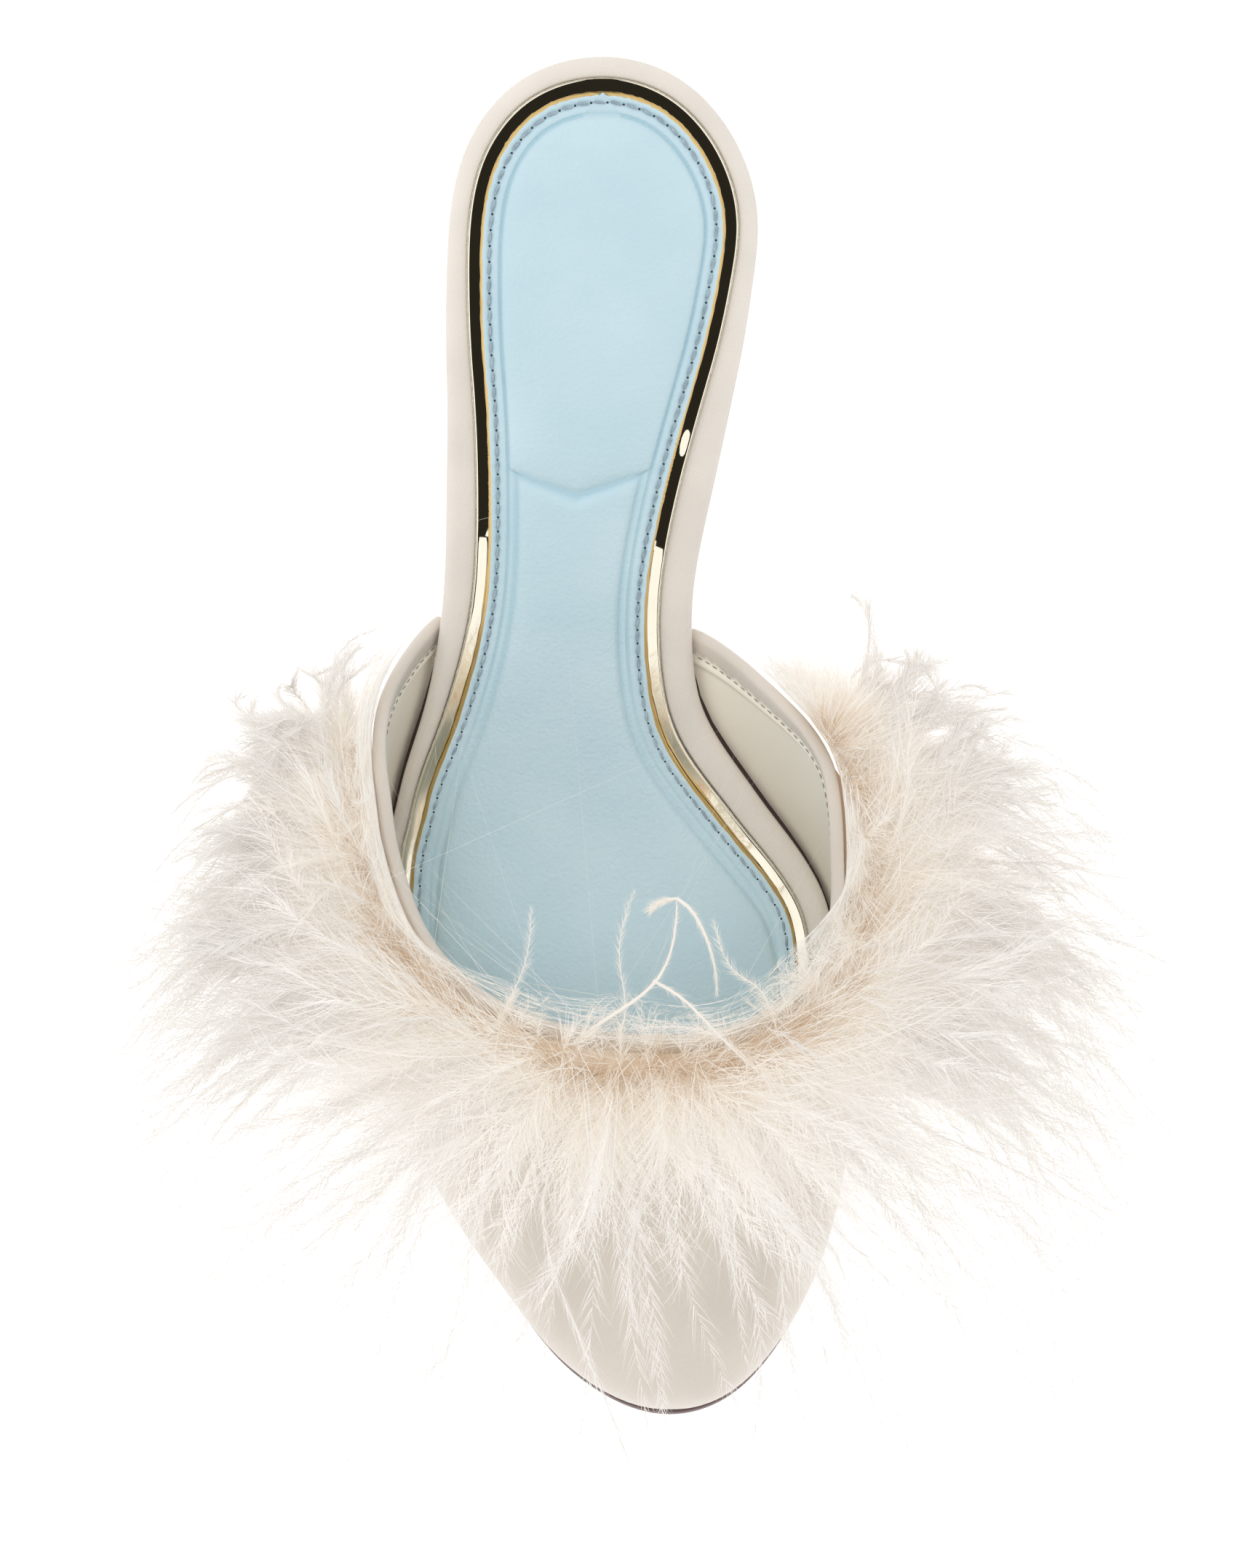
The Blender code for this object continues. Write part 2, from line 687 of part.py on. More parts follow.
def loft(name, rings, material):
    """A solid through rings of D-shaped sections, from the top down."""
    count = len(rings[0])
    points = [p for ring in rings for p in ring]
    faces = []
    for r in range(len(rings) - 1):
        for i in range(count):
            k = (i + 1) % count
            a, b = r * count + i, r * count + k
            faces.append([a, b, b + count, a + count])
    half = count // 2
    for base, flip in ((0, True), ((len(rings) - 1) * count, False)):
        for i in range(half):
            face = [base + i, base + i + 1, base + count - 2 - i, base + count - 1 - i]
            face = list(dict.fromkeys(face))
            faces.append(face[::-1] if flip else face)
    return new_object(name, points, faces, material)


def build_heel(material):
    """The satin-covered heel, from the seat down to the top lift."""
    seat = seat_ring(HEEL_INSET, 0.0)
    tip = tip_ring(LIFT_HEIGHT + GAP)
    drops = column(HEEL_SECTIONS, HEEL_COLUMNS, "down")
    slims = column(HEEL_SECTIONS, HEEL_COLUMNS, "slimness")
    rings = []
    for down, slim in zip(drops, slims):
        ring = []
        for high, low in zip(seat, tip):
            x, y = high[:2] + (low[:2] - high[:2]) * slim
            ring.append(np.array([x, y, high[2] + (low[2] - high[2]) * down]))
        rings.append(ring)
    return loft("heel", rings, material)


def build_lift(material):
    """The top lift that the heel stands on."""
    return loft("top_lift", [tip_ring(LIFT_HEIGHT), tip_ring(0.0)], material)


def follow_surface(turn, quarter, direction, distance):
    """Steps over the upper's surface, and returns the station it ends at."""
    steps = max(1, math.ceil(abs(distance) / SURFACE_STEP))
    small = 1e-3
    for _ in range(steps):
        here = last_point(turn, quarter)
        by_turn = (last_point(turn + small, quarter) - here) / small
        by_quarter = (last_point(turn, quarter + small) - here) / small
        jacobian = np.stack([by_turn, by_quarter], 1)
        change, *_ = np.linalg.lstsq(jacobian, direction * distance / steps, rcond=None)
        turn, quarter = turn + change[0], float(np.clip(quarter + change[1], 0.02, 1.98))
    return turn, quarter


def frontness(part):
    """1 at the throat's front, 0 towards the wings."""
    return smooth_step(1 - abs(part - 0.5) / 0.26)


def band_stations():
    """Places along the topline, evenly spaced in length, where the feather body is built."""
    parts = np.linspace(BAND_START, BAND_END, 12 * FLUFF_STEPS + 1)
    line = np.array([last_point(*topline(part)) for part in parts])
    run = np.concatenate([[0.0], np.cumsum(np.linalg.norm(np.diff(line, axis=0), axis=1))])
    return np.interp(np.linspace(0.0, run[-1], FLUFF_STEPS + 1), run, parts)


def band_frame(part):
    """The topline point, the surface normal there and the way down the upper from it."""
    turn, quarter = topline(part)
    before, after = last_point(*topline(part - 0.01)), last_point(*topline(part + 0.01))
    point, normal = upper_surface(turn, quarter)
    run = (after - before) / np.linalg.norm(after - before)
    down = np.cross(run, normal)
    down /= np.linalg.norm(down)
    if np.dot(down, last_point(turn - 0.02, quarter) - point) < 0:
        down = -down
    return point, normal, down


def fluff_point(part, down_share, off_share, rng):
    """A point of the feather body's cross-section at one place along the band."""
    point, normal, down = band_frame(part)
    ends = smooth_step((part - BAND_START) / 0.07) * smooth_step((BAND_END - part) / 0.07)
    size = 0.45 + 0.55 * ends
    front = frontness(part)
    shift = WING_SHIFT * (1 - front)
    distance = shift + FLUFF_DEPTH * size * down_share * (0.86 + 0.34 * front)
    off = GAP + (TOPLINE_WALL - UPPER_WALL) / 2 + FLUFF_THICKNESS * size * off_share
    off *= rng.uniform(0.9, 1.1) if off_share > 0.3 else 1.0
    if distance <= 0:
        return point + normal * off + down * distance
    station = follow_surface(*topline(part), down, distance)
    surface, outward = upper_surface(*station)
    return surface + outward * off


def lock_way(centre, root, front, rng):
    """The way a lock grows: out from the band's core, and fanned out round the throat."""
    way = (centre - root) / np.linalg.norm(centre - root)
    throat = last_point(*topline(0.5))
    fan = np.array([root[0] - FAN_CENTRE_X, root[1] - throat[1] - FAN_CENTRE_FROM_THROAT, 0.0])
    way += LOCK_FAN * fan / np.linalg.norm(fan)
    way += LOCK_SCATTER * np.array([rng.uniform(-1, 1) for _ in range(3)])
    way /= np.linalg.norm(way)
    if front > 0.1:
        way[2] = max(way[2], -FRONT_LOCK_FALL)
    return way


def add_lock(points, faces, corners, way, length, rings):
    """Grows a tapering, drooping lock out of a three-cornered face of the feather body. Rings give
    how far out the lock is gathered in, and how thick it is there as a share of its root."""
    base = np.array([points[i] for i in corners])
    centre = base.mean(0)
    below = list(corners)
    for part, scale in (*rings, (1.0, 0.0)):
        middle = centre + way * length * part
        middle[2] -= LOCK_DROOP * length * part**2
        middle[2] = max(middle[2], FLOOR_CLEARANCE)
        if scale == 0.0:
            points.append(middle)
            faces += [[below[i], below[(i + 1) % 3], len(points) - 1] for i in range(3)]
            return
        ring = [len(points) + i for i in range(3)]
        points += [middle + (corner - centre) * scale for corner in base]
        faces += [[below[i], below[(i + 1) % 3], ring[(i + 1) % 3], ring[i]] for i in range(3)]
        below = ring


def build_marabou(material):
    """The feather band: a soft body over the upper's edge, with locks fused on."""
    rng = random.Random(SEED)
    downs = column(FLUFF, FLUFF_COLUMNS, "down")
    offs = column(FLUFF, FLUFF_COLUMNS, "off")
    count = len(FLUFF)
    points, roots = [], []
    parts = band_stations()
    for part in parts:
        station = [fluff_point(part, down, off, rng) for down, off in zip(downs, offs)]
        points += station
        roots.append((station[0] + station[1]) / 2)
    faces = []
    for i in range(FLUFF_STEPS):
        for j in range(count):
            k = (j + 1) % count
            corners = [i * count + k, i * count + j, (i + 1) * count + j, (i + 1) * count + k]
            if not FLUFF_UNDERSIDE <= j < count - 1:
                faces.append(corners)
                continue
            first, second = corners[:3], [corners[0], corners[2], corners[3]]
            if (i + j) % 2:
                first, second = corners[1:], [corners[0], corners[1], corners[3]]
            front = frontness(parts[i])
            centre = np.mean([points[k] for k in corners], axis=0)
            long = LONG_LOCK_LENGTH if rng.random() < LONG_LOCK_CHANCE else LOCK_LENGTH
            long *= rng.uniform(0.75, 1.2) * (1 + FRONT_LOCK_EXTRA * front)
            short = TUFT_LENGTH * rng.uniform(0.6, 1.6)
            add_lock(points, faces, first, lock_way(centre, roots[i], front, rng), long, LOCK_RINGS)
            add_lock(points, faces, second, lock_way(centre, roots[i], front, rng), short, ())
    faces.append(list(range(count)))
    faces.append([FLUFF_STEPS * count + j for j in range(count)][::-1])
    return new_object("marabou_trim", points, faces, material)


def main():
    """Clears the scene and builds every piece of the shoe."""
    for old in list(bpy.data.objects):
        bpy.data.objects.remove(old)
    satin = material_of("satin", (0.80, 0.74, 0.67), 0.45)
    build_outsole(material_of("outsole_leather", (0.20, 0.13, 0.12), 0.55))
    build_footbed(satin)
    build_rand(material_of("gold_mirror", (0.85, 0.72, 0.42), 0.10, 1.0))
    build_sock(material_of("blue_leather", (0.54, 0.70, 0.77), 0.50))
    build_upper(satin)
    build_heel(satin)
    build_lift(material_of("lift_rubber", (0.25, 0.19, 0.16), 0.60))
    build_marabou(material_of("marabou", (0.87, 0.83, 0.77), 0.90))


main()
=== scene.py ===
"""Looks of the marabou slipper, seen from straight above with the toe towards the lower edge.

Metres, +Z up, toe along -Y, heel along +Y, +X the inner side of the foot. A place on the shoe is
given by "turn" along it, x, and "rise" square to the seat line, as in the part's source.
"""

import math

import bpy
import numpy as np
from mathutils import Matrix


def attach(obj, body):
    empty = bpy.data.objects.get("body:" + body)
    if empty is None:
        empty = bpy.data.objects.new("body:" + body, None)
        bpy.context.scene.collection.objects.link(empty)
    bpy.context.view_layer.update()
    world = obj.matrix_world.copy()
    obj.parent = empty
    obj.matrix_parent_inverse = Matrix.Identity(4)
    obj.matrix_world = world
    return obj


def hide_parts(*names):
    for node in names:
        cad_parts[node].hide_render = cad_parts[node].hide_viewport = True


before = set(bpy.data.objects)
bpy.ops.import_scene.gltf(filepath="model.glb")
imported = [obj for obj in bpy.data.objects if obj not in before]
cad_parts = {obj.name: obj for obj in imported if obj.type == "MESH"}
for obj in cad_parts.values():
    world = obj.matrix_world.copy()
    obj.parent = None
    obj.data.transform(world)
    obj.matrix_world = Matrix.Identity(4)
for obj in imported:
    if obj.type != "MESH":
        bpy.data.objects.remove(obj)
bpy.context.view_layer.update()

LEFT, RIGHT = -1, 1

# Sizes shared with the part's source
FOOTBED_LENGTH, BALL_WIDTH, HEEL_WIDTH = 0.2323, 0.081, 0.0528
TREAD_FROM_TOE = 0.0686
HEEL_RISE, TOE_SPRING = 0.0605, 0.0065
GAP = 0.0003
OUTSOLE_THICKNESS, FOOTBED_THICKNESS = 0.0025, 0.0058
RAND_THICKNESS, SOCK_EDGE_THICKNESS, SOCK_PAD_RISE = 0.0007, 0.0011, 0.0017
UPPER_WALL, TOPLINE_WALL, TOPLINE_BAND = 0.0016, 0.0024, 0.0042
RECESS_HEIGHT, RECESS_DEPTH, UNDERCUT_DEPTH, EDGE_ROUND = 0.0023, 0.0042, 0.0012, 0.0019
SOCK_FROM_RAND_EDGE, PAD_FROM_SOCK_EDGE = 0.0022, 0.0034
CHEVRON_FROM_HEEL, CHEVRON_POINT = 0.0640, 0.0052
TOE_BOX_HEIGHT, THROAT_HEIGHT = 0.0145, 0.0435
INNER_ARCH_BELLY, OUTER_ARCH_BELLY, TOE_TUCK = 0.0255, 0.0125, 0.0022
OUTSOLE_MARGIN, SHANK_INSET = 0.0006, 0.0034
BREAST_FROM_HEEL, HEEL_INSET = 0.0520, 0.0018
TIP_WIDTH, TIP_LENGTH, TIP_FROM_HEEL, LIFT_HEIGHT = 0.0125, 0.0130, 0.0125, 0.0060
RING_WIDTH, WAIST_RING_EXTRA = 0.0033, 0.0025
WAIST_START, WAIST_END, SPRING_END = 0.42, 0.78, 0.21
SIDE_POWER, TOP_POWER, BELLY_POWER = 0.85, 0.90, 0.80
RAND_BASE = 2 * GAP + FOOTBED_THICKNESS
RAND_TOP = RAND_BASE + RAND_THICKNESS
SOCK_BASE = RAND_TOP + GAP
SOCK_TOP = SOCK_BASE + SOCK_EDGE_THICKNESS

# Looks only
SLAB_STEPS, OUTSOLE_STEPS, CAP_STEPS, SOCK_STEPS, LINE_STEPS, STITCH_LINE_STEPS = 260, 200, 9, 210, 420, 1600
HEEL_STEPS, BREAST_STEPS, UPPER_COLUMNS, UPPER_ROWS = 40, 12, 257, 42
# The turn of the upper's first row, close to the toe's point
FIRST_TURN = 0.002
STITCH_PITCH, STITCH_LENGTH, STITCH_FROM_EDGE, STITCH_RADIUS = 0.00275, 0.0021, 0.0016, 0.00021
STITCH_ARCH, STITCH_SINK, STITCH_TWIST, HOLE_HALF = 0.00016, 0.00012, 0.00028, 0.00022
# The sock's relief: depth and half width of the stitches' trough, the embossed line and the pad's side
TROUGH_DEPTH, TROUGH_WIDTH, GROOVE_DEPTH, GROOVE_WIDTH = 0.00030, 0.00045, 0.00034, 0.00028
# The ledge's width, depth and side's half width, and the half width of the painted shade along the chevron's
# crease; the trough's, groove's and side's widths also set where painted shade falls
LEDGE_WIDTH, LEDGE_DEPTH, LEDGE_SIDE, CREASE_WIDTH = 0.0014, 0.00010, 0.0005, 0.0007
# The pad swells fast at its edge and slowly beyond it, and falls towards the chevron from both sides
PAD_SHOULDER, PAD_CROWN, CROWN_SHARE = 0.0006, 0.0045, 0.55
CHEVRON_FALL, FALL_BEHIND, FALL_BEFORE = 0.62, 0.0016, 0.0007
# Stitches and embossed line grow faint in front of this share of the length
FAINT_FROM, FAINT_FADE, FAINT_LOSS = 0.60, 0.10, 0.6
CUT_EDGE_WIDTH, CUT_EDGE_RADIUS, LIP_SWELL, LINING_STEP = 0.00045, 0.00006, 0.00065, 0.00028
STRIP_TILT, STRIP_SHOWN = 0.10, 0.0022
# The feathers' painted glow, an emission that stands in for light scattered among them, and the share of
# light that passes through them
DOWN_GLOW, WISP_GLOW, DOWN_TRANSLUCENCE = 0.185, 0.13, 0.25
# Parts of the topline between which feathers grow
BAND_START, BAND_END = 0.190, 0.862
# How far strands stay off the wings, start below the wings' edge, and lean in over the throat's front
WING_CLEAR, WING_ROOM, WING_DROP, THROAT_LEAN = 0.0010, 0.0030, 0.0030, 0.0085
# Where the throat's front lies round the fan's centre, half its spread and its fade, in degrees
FRONT_TURN, FRONT_HALF, FRONT_FADE = -83, 82, 28
# The last directions of the fan at the outer and the inner wing, in degrees
REAREST = (-238, 64)
# The point that the feathers fan out from, seen from above
FAN_CENTRE = np.array((0.0050, 0.0100, 0.0))
# How many degrees the wings' feathers sweep back, and the least room before the fan's ends
WING_SWEEP, END_ROOM = 22, 6
# How much a lifted feather falls short, and how far it rises, as shares of its length
LIFT_SHORT, LIFT_RISE = 0.45, 0.75
# How far from its root a feather takes to pass from its darker, warmer root colour to its tip colour
COLOURED_LENGTH = 0.026
# Lengths of the strands that stand off a stem, and widths of the ribbons
DOWN_BARB, DOWN_WIDTH = (0.010, 0.0185), (0.00009, 0.00016)
THROAT_BARB, THROAT_WIDTH = (0.006, 0.011), (0.00008, 0.00014)
TANGLE_LENGTH, TANGLE_WIDTH, THREAD_WIDTH = (0.0025, 0.0070), (0.00009, 0.00017), (0.00010, 0.00017)
WISP_BARBULE, WISP_WIDTH, STEM_WIDTH = (0.0034, 0.0062), (0.00012, 0.00018), (0.00022, 0.00030)
FRINGE_LENGTH, FRINGE_WIDTH, WISP_SWEEP = (0.0010, 0.0024), (0.00006, 0.00009), 0.022
# The dark band overhead, which only reflections show: how high it begins, and half its width
DARK_ABOVE, DARK_HALF_WIDTH = 0.42, 0.11
# The sky's strength for soft light and for reflections
SOFT_LIGHT, SHINY_LIGHT = 0.82, 1.10
# Shares of the length at which the mirror strip turns from gold to dark
STRIP_GOLD_END = {LEFT: 0.672, RIGHT: 0.656}
# The camera's place in metres, the photograph's height in pixels, and its pixels for a metre at a metre
CAMERA_PLACE, PHOTO_HEIGHT, PHOTO_SCALE, SENSOR = (0.0044, 0.0402, 1.150), 2156, 8826, 24.0
# The dent in the mirror strip on the inner side
GLINT_AT, GLINT_LENGTH, GLINT_DEPTH = 0.727, 0.011, 0.00020
SEED = 11
# Rims as (out, rise): the footbed's below and above its middle, out in shares of EDGE_ROUND
RIM_BELOW = ((-1.0, 0.0), (-0.6, 0.00002), (-0.28, 0.0003), (-0.08, 0.0008))
RIM_ABOVE = ((-0.22, -0.00085), (-0.45, -0.00042), (-0.80, -0.00013), (-1.2, -0.00002))
OUTSOLE_RIM = (
    (-0.0010, 0.0), (-0.0004, 0.0), (-0.0001, 0.00015), (0.0, 0.0005),
    (0.0, 0.0021), (-0.0001, 0.0024), (-0.0004, 0.0025),
)
# The sock's rim as (inset, rise)
SOCK_RIM = (
    (0.0, SOCK_BASE - 0.0002),
    (0.0, SOCK_BASE + 0.25 * SOCK_EDGE_THICKNESS),
    (0.00016, SOCK_TOP - 0.00042),
    (CUT_EDGE_WIDTH, SOCK_TOP - 0.00003),
)
# Distances inside the sock's edge, and inside the rand's, at which a row of points lies
SOCK_INSETS = np.concatenate([
    np.linspace(0.0006, 0.0030, 12), np.linspace(0.00315, 0.00385, 8), np.linspace(0.0042, 0.0066, 13),
])
STRIP_INSETS = (0.00004, 0.00035, 0.0006, 0.0009, 0.0012, 0.0015, 0.0018, STRIP_SHOWN, 0.0030)
# In widths of the topline's band: where its rows begin, where its swell begins, the edge of the folded
# satin and its pinking, where the lining's lip begins, how wide the lip is, and the rows near the topline
BAND_FROM, SWELL_FROM, FOLD_EDGE, PINKING, LIP_FROM, LIP_WIDE = 1.6, 0.15, 0.75, 0.10, 0.82, 0.60
RIM_ROUND, SEAM_FROM, SEAM_PITCH = 0.42, 0.80, 0.0017
BAND_ROWS = np.array((1.45, 1.35, 1.25, 1.15, 1.05, 0.95, 0.85, 0.75, 0.6, 0.45, 0.3, 0.15, 0.0))

# Along the footbed, its outer and inner edge as shares of the local width
OUTLINE = np.array((
    (0.000, 0.147, 0.147), (0.013, 0.020, 0.265), (0.039, -0.078, 0.341), (0.086, -0.184, 0.422),
    (0.137, -0.286, 0.473), (0.193, -0.374, 0.501), (0.257, -0.444, 0.514), (0.321, -0.480, 0.510),
    (0.386, -0.486, 0.484), (0.429, -0.473, 0.416), (0.454, -0.459, 0.367), (0.480, -0.449, 0.320),
    (0.531, -0.425, 0.241), (0.574, -0.419, 0.227), (0.626, -0.432, 0.250), (0.686, -0.468, 0.323),
    (0.763, -0.501, 0.425), (0.840, -0.501, 0.487), (0.883, -0.490, 0.503), (0.926, -0.451, 0.461),
    (0.960, -0.370, 0.371), (0.984, -0.254, 0.252), (1.000, 0.005, 0.005),
))
# Along, steepness of the seat line
RAMP = np.array((
    (0.360, 0.00), (0.440, 0.46), (0.530, 0.98), (0.660, 1.00), (0.800, 0.70), (0.920, 0.42),
    (1.000, 0.30),
))
# Along, what the waist adds to the satin ring on the outer and inner side
RING = np.array((
    (0.00, 0.00, 0.00), (0.30, 0.00, 0.35), (0.42, -0.15, 0.70), (0.50, -0.20, 0.80),
    (0.56, 0.15, 0.90), (0.62, 0.65, 1.00), (0.70, 0.75, 1.05), (0.80, 0.30, 0.40), (0.89, 0.00, 0.00),
    (1.00, 0.00, 0.00),
))
# Along, how far the foot of the upper stands out on the outer and inner side
TUCK = np.array((
    (0.00, 1.00, 1.00), (0.20, 0.90, 0.90), (0.38, 0.75, 0.70), (0.50, 0.58, 0.38), (0.61, 0.18, 0.12),
))
# Along, toe height, throat height, ridge, outer belly, inner belly
SECTIONS = np.array((
    (0.000, 0.00, 0.00, 0.147, 0.03, 0.02), (0.004, 0.36, 0.00, 0.140, 0.05, 0.03),
    (0.013, 0.65, 0.00, 0.130, 0.07, 0.04), (0.034, 0.92, 0.01, 0.115, 0.10, 0.05),
    (0.064, 1.00, 0.12, 0.100, 0.14, 0.07), (0.107, 1.00, 0.29, 0.090, 0.18, 0.09),
    (0.150, 1.00, 0.47, 0.080, 0.21, 0.11), (0.214, 1.00, 0.76, 0.075, 0.24, 0.13),
    (0.272, 1.00, 1.00, 0.070, 0.26, 0.15), (0.343, 1.00, 1.19, 0.065, 0.28, 0.19),
    (0.407, 1.00, 1.38, 0.060, 0.33, 0.33), (0.472, 1.00, 1.57, 0.055, 0.55, 0.68),
    (0.531, 1.00, 1.69, 0.050, 0.82, 0.92), (0.625, 1.00, 1.84, 0.040, 1.10, 1.08),
))
# Part of the topline, along, quarter turns round the section
TOPLINE = np.array((
    (0.00, 0.592, 0.000), (0.04, 0.573, 0.056), (0.09, 0.550, 0.128), (0.15, 0.519, 0.228),
    (0.21, 0.482, 0.311), (0.28, 0.433, 0.383), (0.35, 0.384, 0.467), (0.42, 0.332, 0.606),
    (0.46, 0.299, 0.767), (0.50, 0.279, 1.000), (0.54, 0.286, 1.233), (0.58, 0.311, 1.411),
    (0.65, 0.358, 1.578), (0.72, 0.416, 1.644), (0.79, 0.465, 1.700), (0.85, 0.504, 1.774),
    (0.91, 0.536, 1.864), (0.96, 0.563, 1.941), (1.00, 0.583, 2.000),
))
# Heel sections: down from the seat, and slimness
HEEL_SECTIONS = np.array((
    (0.00, 0.00), (0.07, 0.20), (0.16, 0.46), (0.28, 0.68),
    (0.44, 0.84), (0.64, 0.94), (0.84, 0.99), (1.00, 1.00),
))

# Degrees round the fan's centre, how far the down and the wisps reach from it, in millimetres
REACH = np.array((
    (-180, 72, 92), (-160, 76, 97), (-140, 77, 101), (-125, 72, 101), (-112, 63, 99), (-100, 59, 98),
    (-85, 58, 95), (-72, 62, 101), (-60, 73, 110), (-40, 78, 107), (-20, 77, 100), (0, 74, 95), (20, 72, 96),
    (40, 66, 94), (60, 54, 82), (75, 47, 60), (105, 47, 60), (120, 54, 82), (140, 66, 92), (160, 71, 92),
))
# Along the topline from and to, how many wisps, shares of their reach, and how far they lift
WISPS = (
    (0.20, 0.26, 36, 0.62, 1.03, -0.3, 0.3), (0.25, 0.34, 48, 0.62, 1.03, -0.4, 0.2),
    (0.33, 0.43, 78, 0.66, 1.03, -0.5, 0.1), (0.42, 0.58, 104, 0.55, 1.02, -0.5, 0.2),
    (0.57, 0.67, 78, 0.66, 1.03, -0.5, 0.1), (0.66, 0.76, 44, 0.62, 1.03, -0.4, 0.2),
    (0.75, 0.85, 32, 0.62, 1.03, -0.3, 0.3),
)
# Bare quills over the throat: points in millimetres, and thickness
BARE_QUILLS = (
    (((-9, -8, 44), (-2, -2, 50), (6, 3.5, 53), (10.5, 8.5, 55), (12.4, 14.5, 56.5), (12.8, 20.7, 57)), 0.75),
    (((12.8, 20.7, 57), (11.4, 20.5, 57), (9.6, 19.8, 56.5), (8.2, 18.6, 56)), 0.45),
    (((12.8, 20.7, 57), (15.6, 18.2, 57), (18.1, 13.2, 56), (19.4, 8.2, 54), (19.8, 4.0, 51)), 0.60),
    (((8.8, 6.6, 54), (14.5, 3.0, 56), (20.5, -3.2, 56), (29.5, -11.5, 51)), 0.55),
    (((31, -14, 46), (24, -6, 53), (16, -1.5, 55), (5, -1.5, 54)), 0.30),
    (((-21, -6, 44), (-17, 1, 51), (-13, 10, 55), (-12, 19, 56)), 0.22),
    (((2, -6, 46), (4, 2, 52), (3.0, 12, 55), (5.5, 22, 56)), 0.20),
    (((30, -2, 47), (27, 5, 52), (22, 9, 55), (19, 17, 56)), 0.25),
)


# The shoe's form


def curve_through(knots, values):
    """A natural cubic spline through points, for whole arrays."""
    knots, values = np.asarray(knots, float), np.asarray(values, float)
    gaps, count = np.diff(knots), len(knots)
    slopes = np.diff(values) / gaps
    matrix, target = np.eye(count), np.zeros(count)
    for i in range(1, count - 1):
        matrix[i, i - 1 : i + 2] = gaps[i - 1], 2 * (gaps[i - 1] + gaps[i]), gaps[i]
        target[i] = 6 * (slopes[i] - slopes[i - 1])
    bends = np.linalg.solve(matrix, target)

    def at(place):
        place = np.asarray(place, float)
        i = np.clip(np.searchsorted(knots, place) - 1, 0, count - 2)
        before, after, gap = place - knots[i], knots[i + 1] - place, gaps[i]
        bent = (bends[i] * after**3 + bends[i + 1] * before**3) / (6 * gap)
        left = (values[i] / gap - bends[i] * gap / 6) * after
        return bent + left + (values[i + 1] / gap - bends[i + 1] * gap / 6) * before

    return at


def smooth_step(value):
    value = np.clip(value, 0.0, 1.0)
    return value * value * (3 - 2 * value)


def half_turn(share):
    return np.arccos(1 - 2 * np.clip(share, 0.0, 1.0)) / math.pi


def share_at(turn):
    return (1 - np.cos(math.pi * np.asarray(turn, float))) / 2


def seat_tables():
    margin, step = 0.012, 0.0005
    count = round((FOOTBED_LENGTH + 2 * margin) / step) + 1
    along = np.linspace(-margin, FOOTBED_LENGTH + margin, count)
    shares = along / FOOTBED_LENGTH
    ramp = curve_through(RAMP[:, 0], RAMP[:, 1])
    steep = np.where(shares > RAMP[0, 0], np.maximum(0.0, ramp(np.minimum(shares, 1.0))), 0.0)
    climb = np.concatenate([[0], np.cumsum((steep[1:] + steep[:-1]) / 2 * np.diff(along))])
    scale = HEEL_RISE / np.interp(FOOTBED_LENGTH, along, climb)
    spring = np.clip(1 - shares / SPRING_END, 0, None)
    height = OUTSOLE_THICKNESS + climb * scale + TOE_SPRING * spring**2
    slope = steep * scale - 2 * TOE_SPRING * spring / (SPRING_END * FOOTBED_LENGTH)
    return along, height, np.arctan(slope)


def by_side(knots, table):
    """A curve for each side of the shoe."""
    return {LEFT: curve_through(knots, table[:, 1]), RIGHT: curve_through(knots, table[:, 2])}


SEAT_ALONG, SEAT_HEIGHT, SEAT_ANGLE = seat_tables()
EDGES = by_side(half_turn(OUTLINE[:, 0]), OUTLINE)
RING_SHARE = by_side(RING[:, 0], RING)
TUCK_SHARE = by_side(TUCK[:, 0], TUCK)
SECTION = [curve_through(half_turn(SECTIONS[:, 0]), SECTIONS[:, i]) for i in range(1, 6)]
TOPLINE_ALONG = curve_through(TOPLINE[:, 0], TOPLINE[:, 1])
TOPLINE_TURN = curve_through(TOPLINE[:, 0], TOPLINE[:, 2])


def seat(along):
    """Height and slope angle of the seat line."""
    return np.interp(along, SEAT_ALONG, SEAT_HEIGHT), np.interp(along, SEAT_ALONG, SEAT_ANGLE)


def place(x, along, rise):
    """World coordinates of points given along the seat line."""
    height, angle = seat(along)
    y = along - TREAD_FROM_TOE - rise * np.sin(angle)
    return np.stack(np.broadcast_arrays(x, y, height + rise * np.cos(angle)), -1)


def outline(turn, side):
    share = share_at(turn)
    blend = smooth_step((share - WAIST_START) / (WAIST_END - WAIST_START))
    width = BALL_WIDTH + (HEEL_WIDTH - BALL_WIDTH) * blend
    return np.stack([EDGES[side](turn) * width, share * FOOTBED_LENGTH], -1)


def edge(turn, side, out):
    """(x, along) at a distance out from the footbed's outline."""
    turn = np.asarray(turn, float)
    low, high = np.maximum(0.0, turn - 1e-4), np.minimum(1.0, turn + 1e-4)
    way = outline(high, side) - outline(low, side)
    normal = np.stack([side * way[..., 1], -side * way[..., 0]], -1)
    normal /= np.linalg.norm(normal, axis=-1, keepdims=True)
    return outline(turn, side) + np.asarray(out)[..., None] * normal


def ring_width(share, side):
    return RING_WIDTH + WAIST_RING_EXTRA * RING_SHARE[side](share)


def upper_foot(share, side):
    return TOE_TUCK * TUCK_SHARE[side](np.minimum(share, TUCK[-1, 0]))


def belly(quarter):
    angle = math.atan(math.sqrt(BELLY_POWER))
    widest = math.sin(angle) ** BELLY_POWER * math.cos(angle)
    swing = quarter * math.pi / 2
    return np.maximum(0.0, np.sin(swing)) ** BELLY_POWER * np.abs(np.cos(swing)) / widest


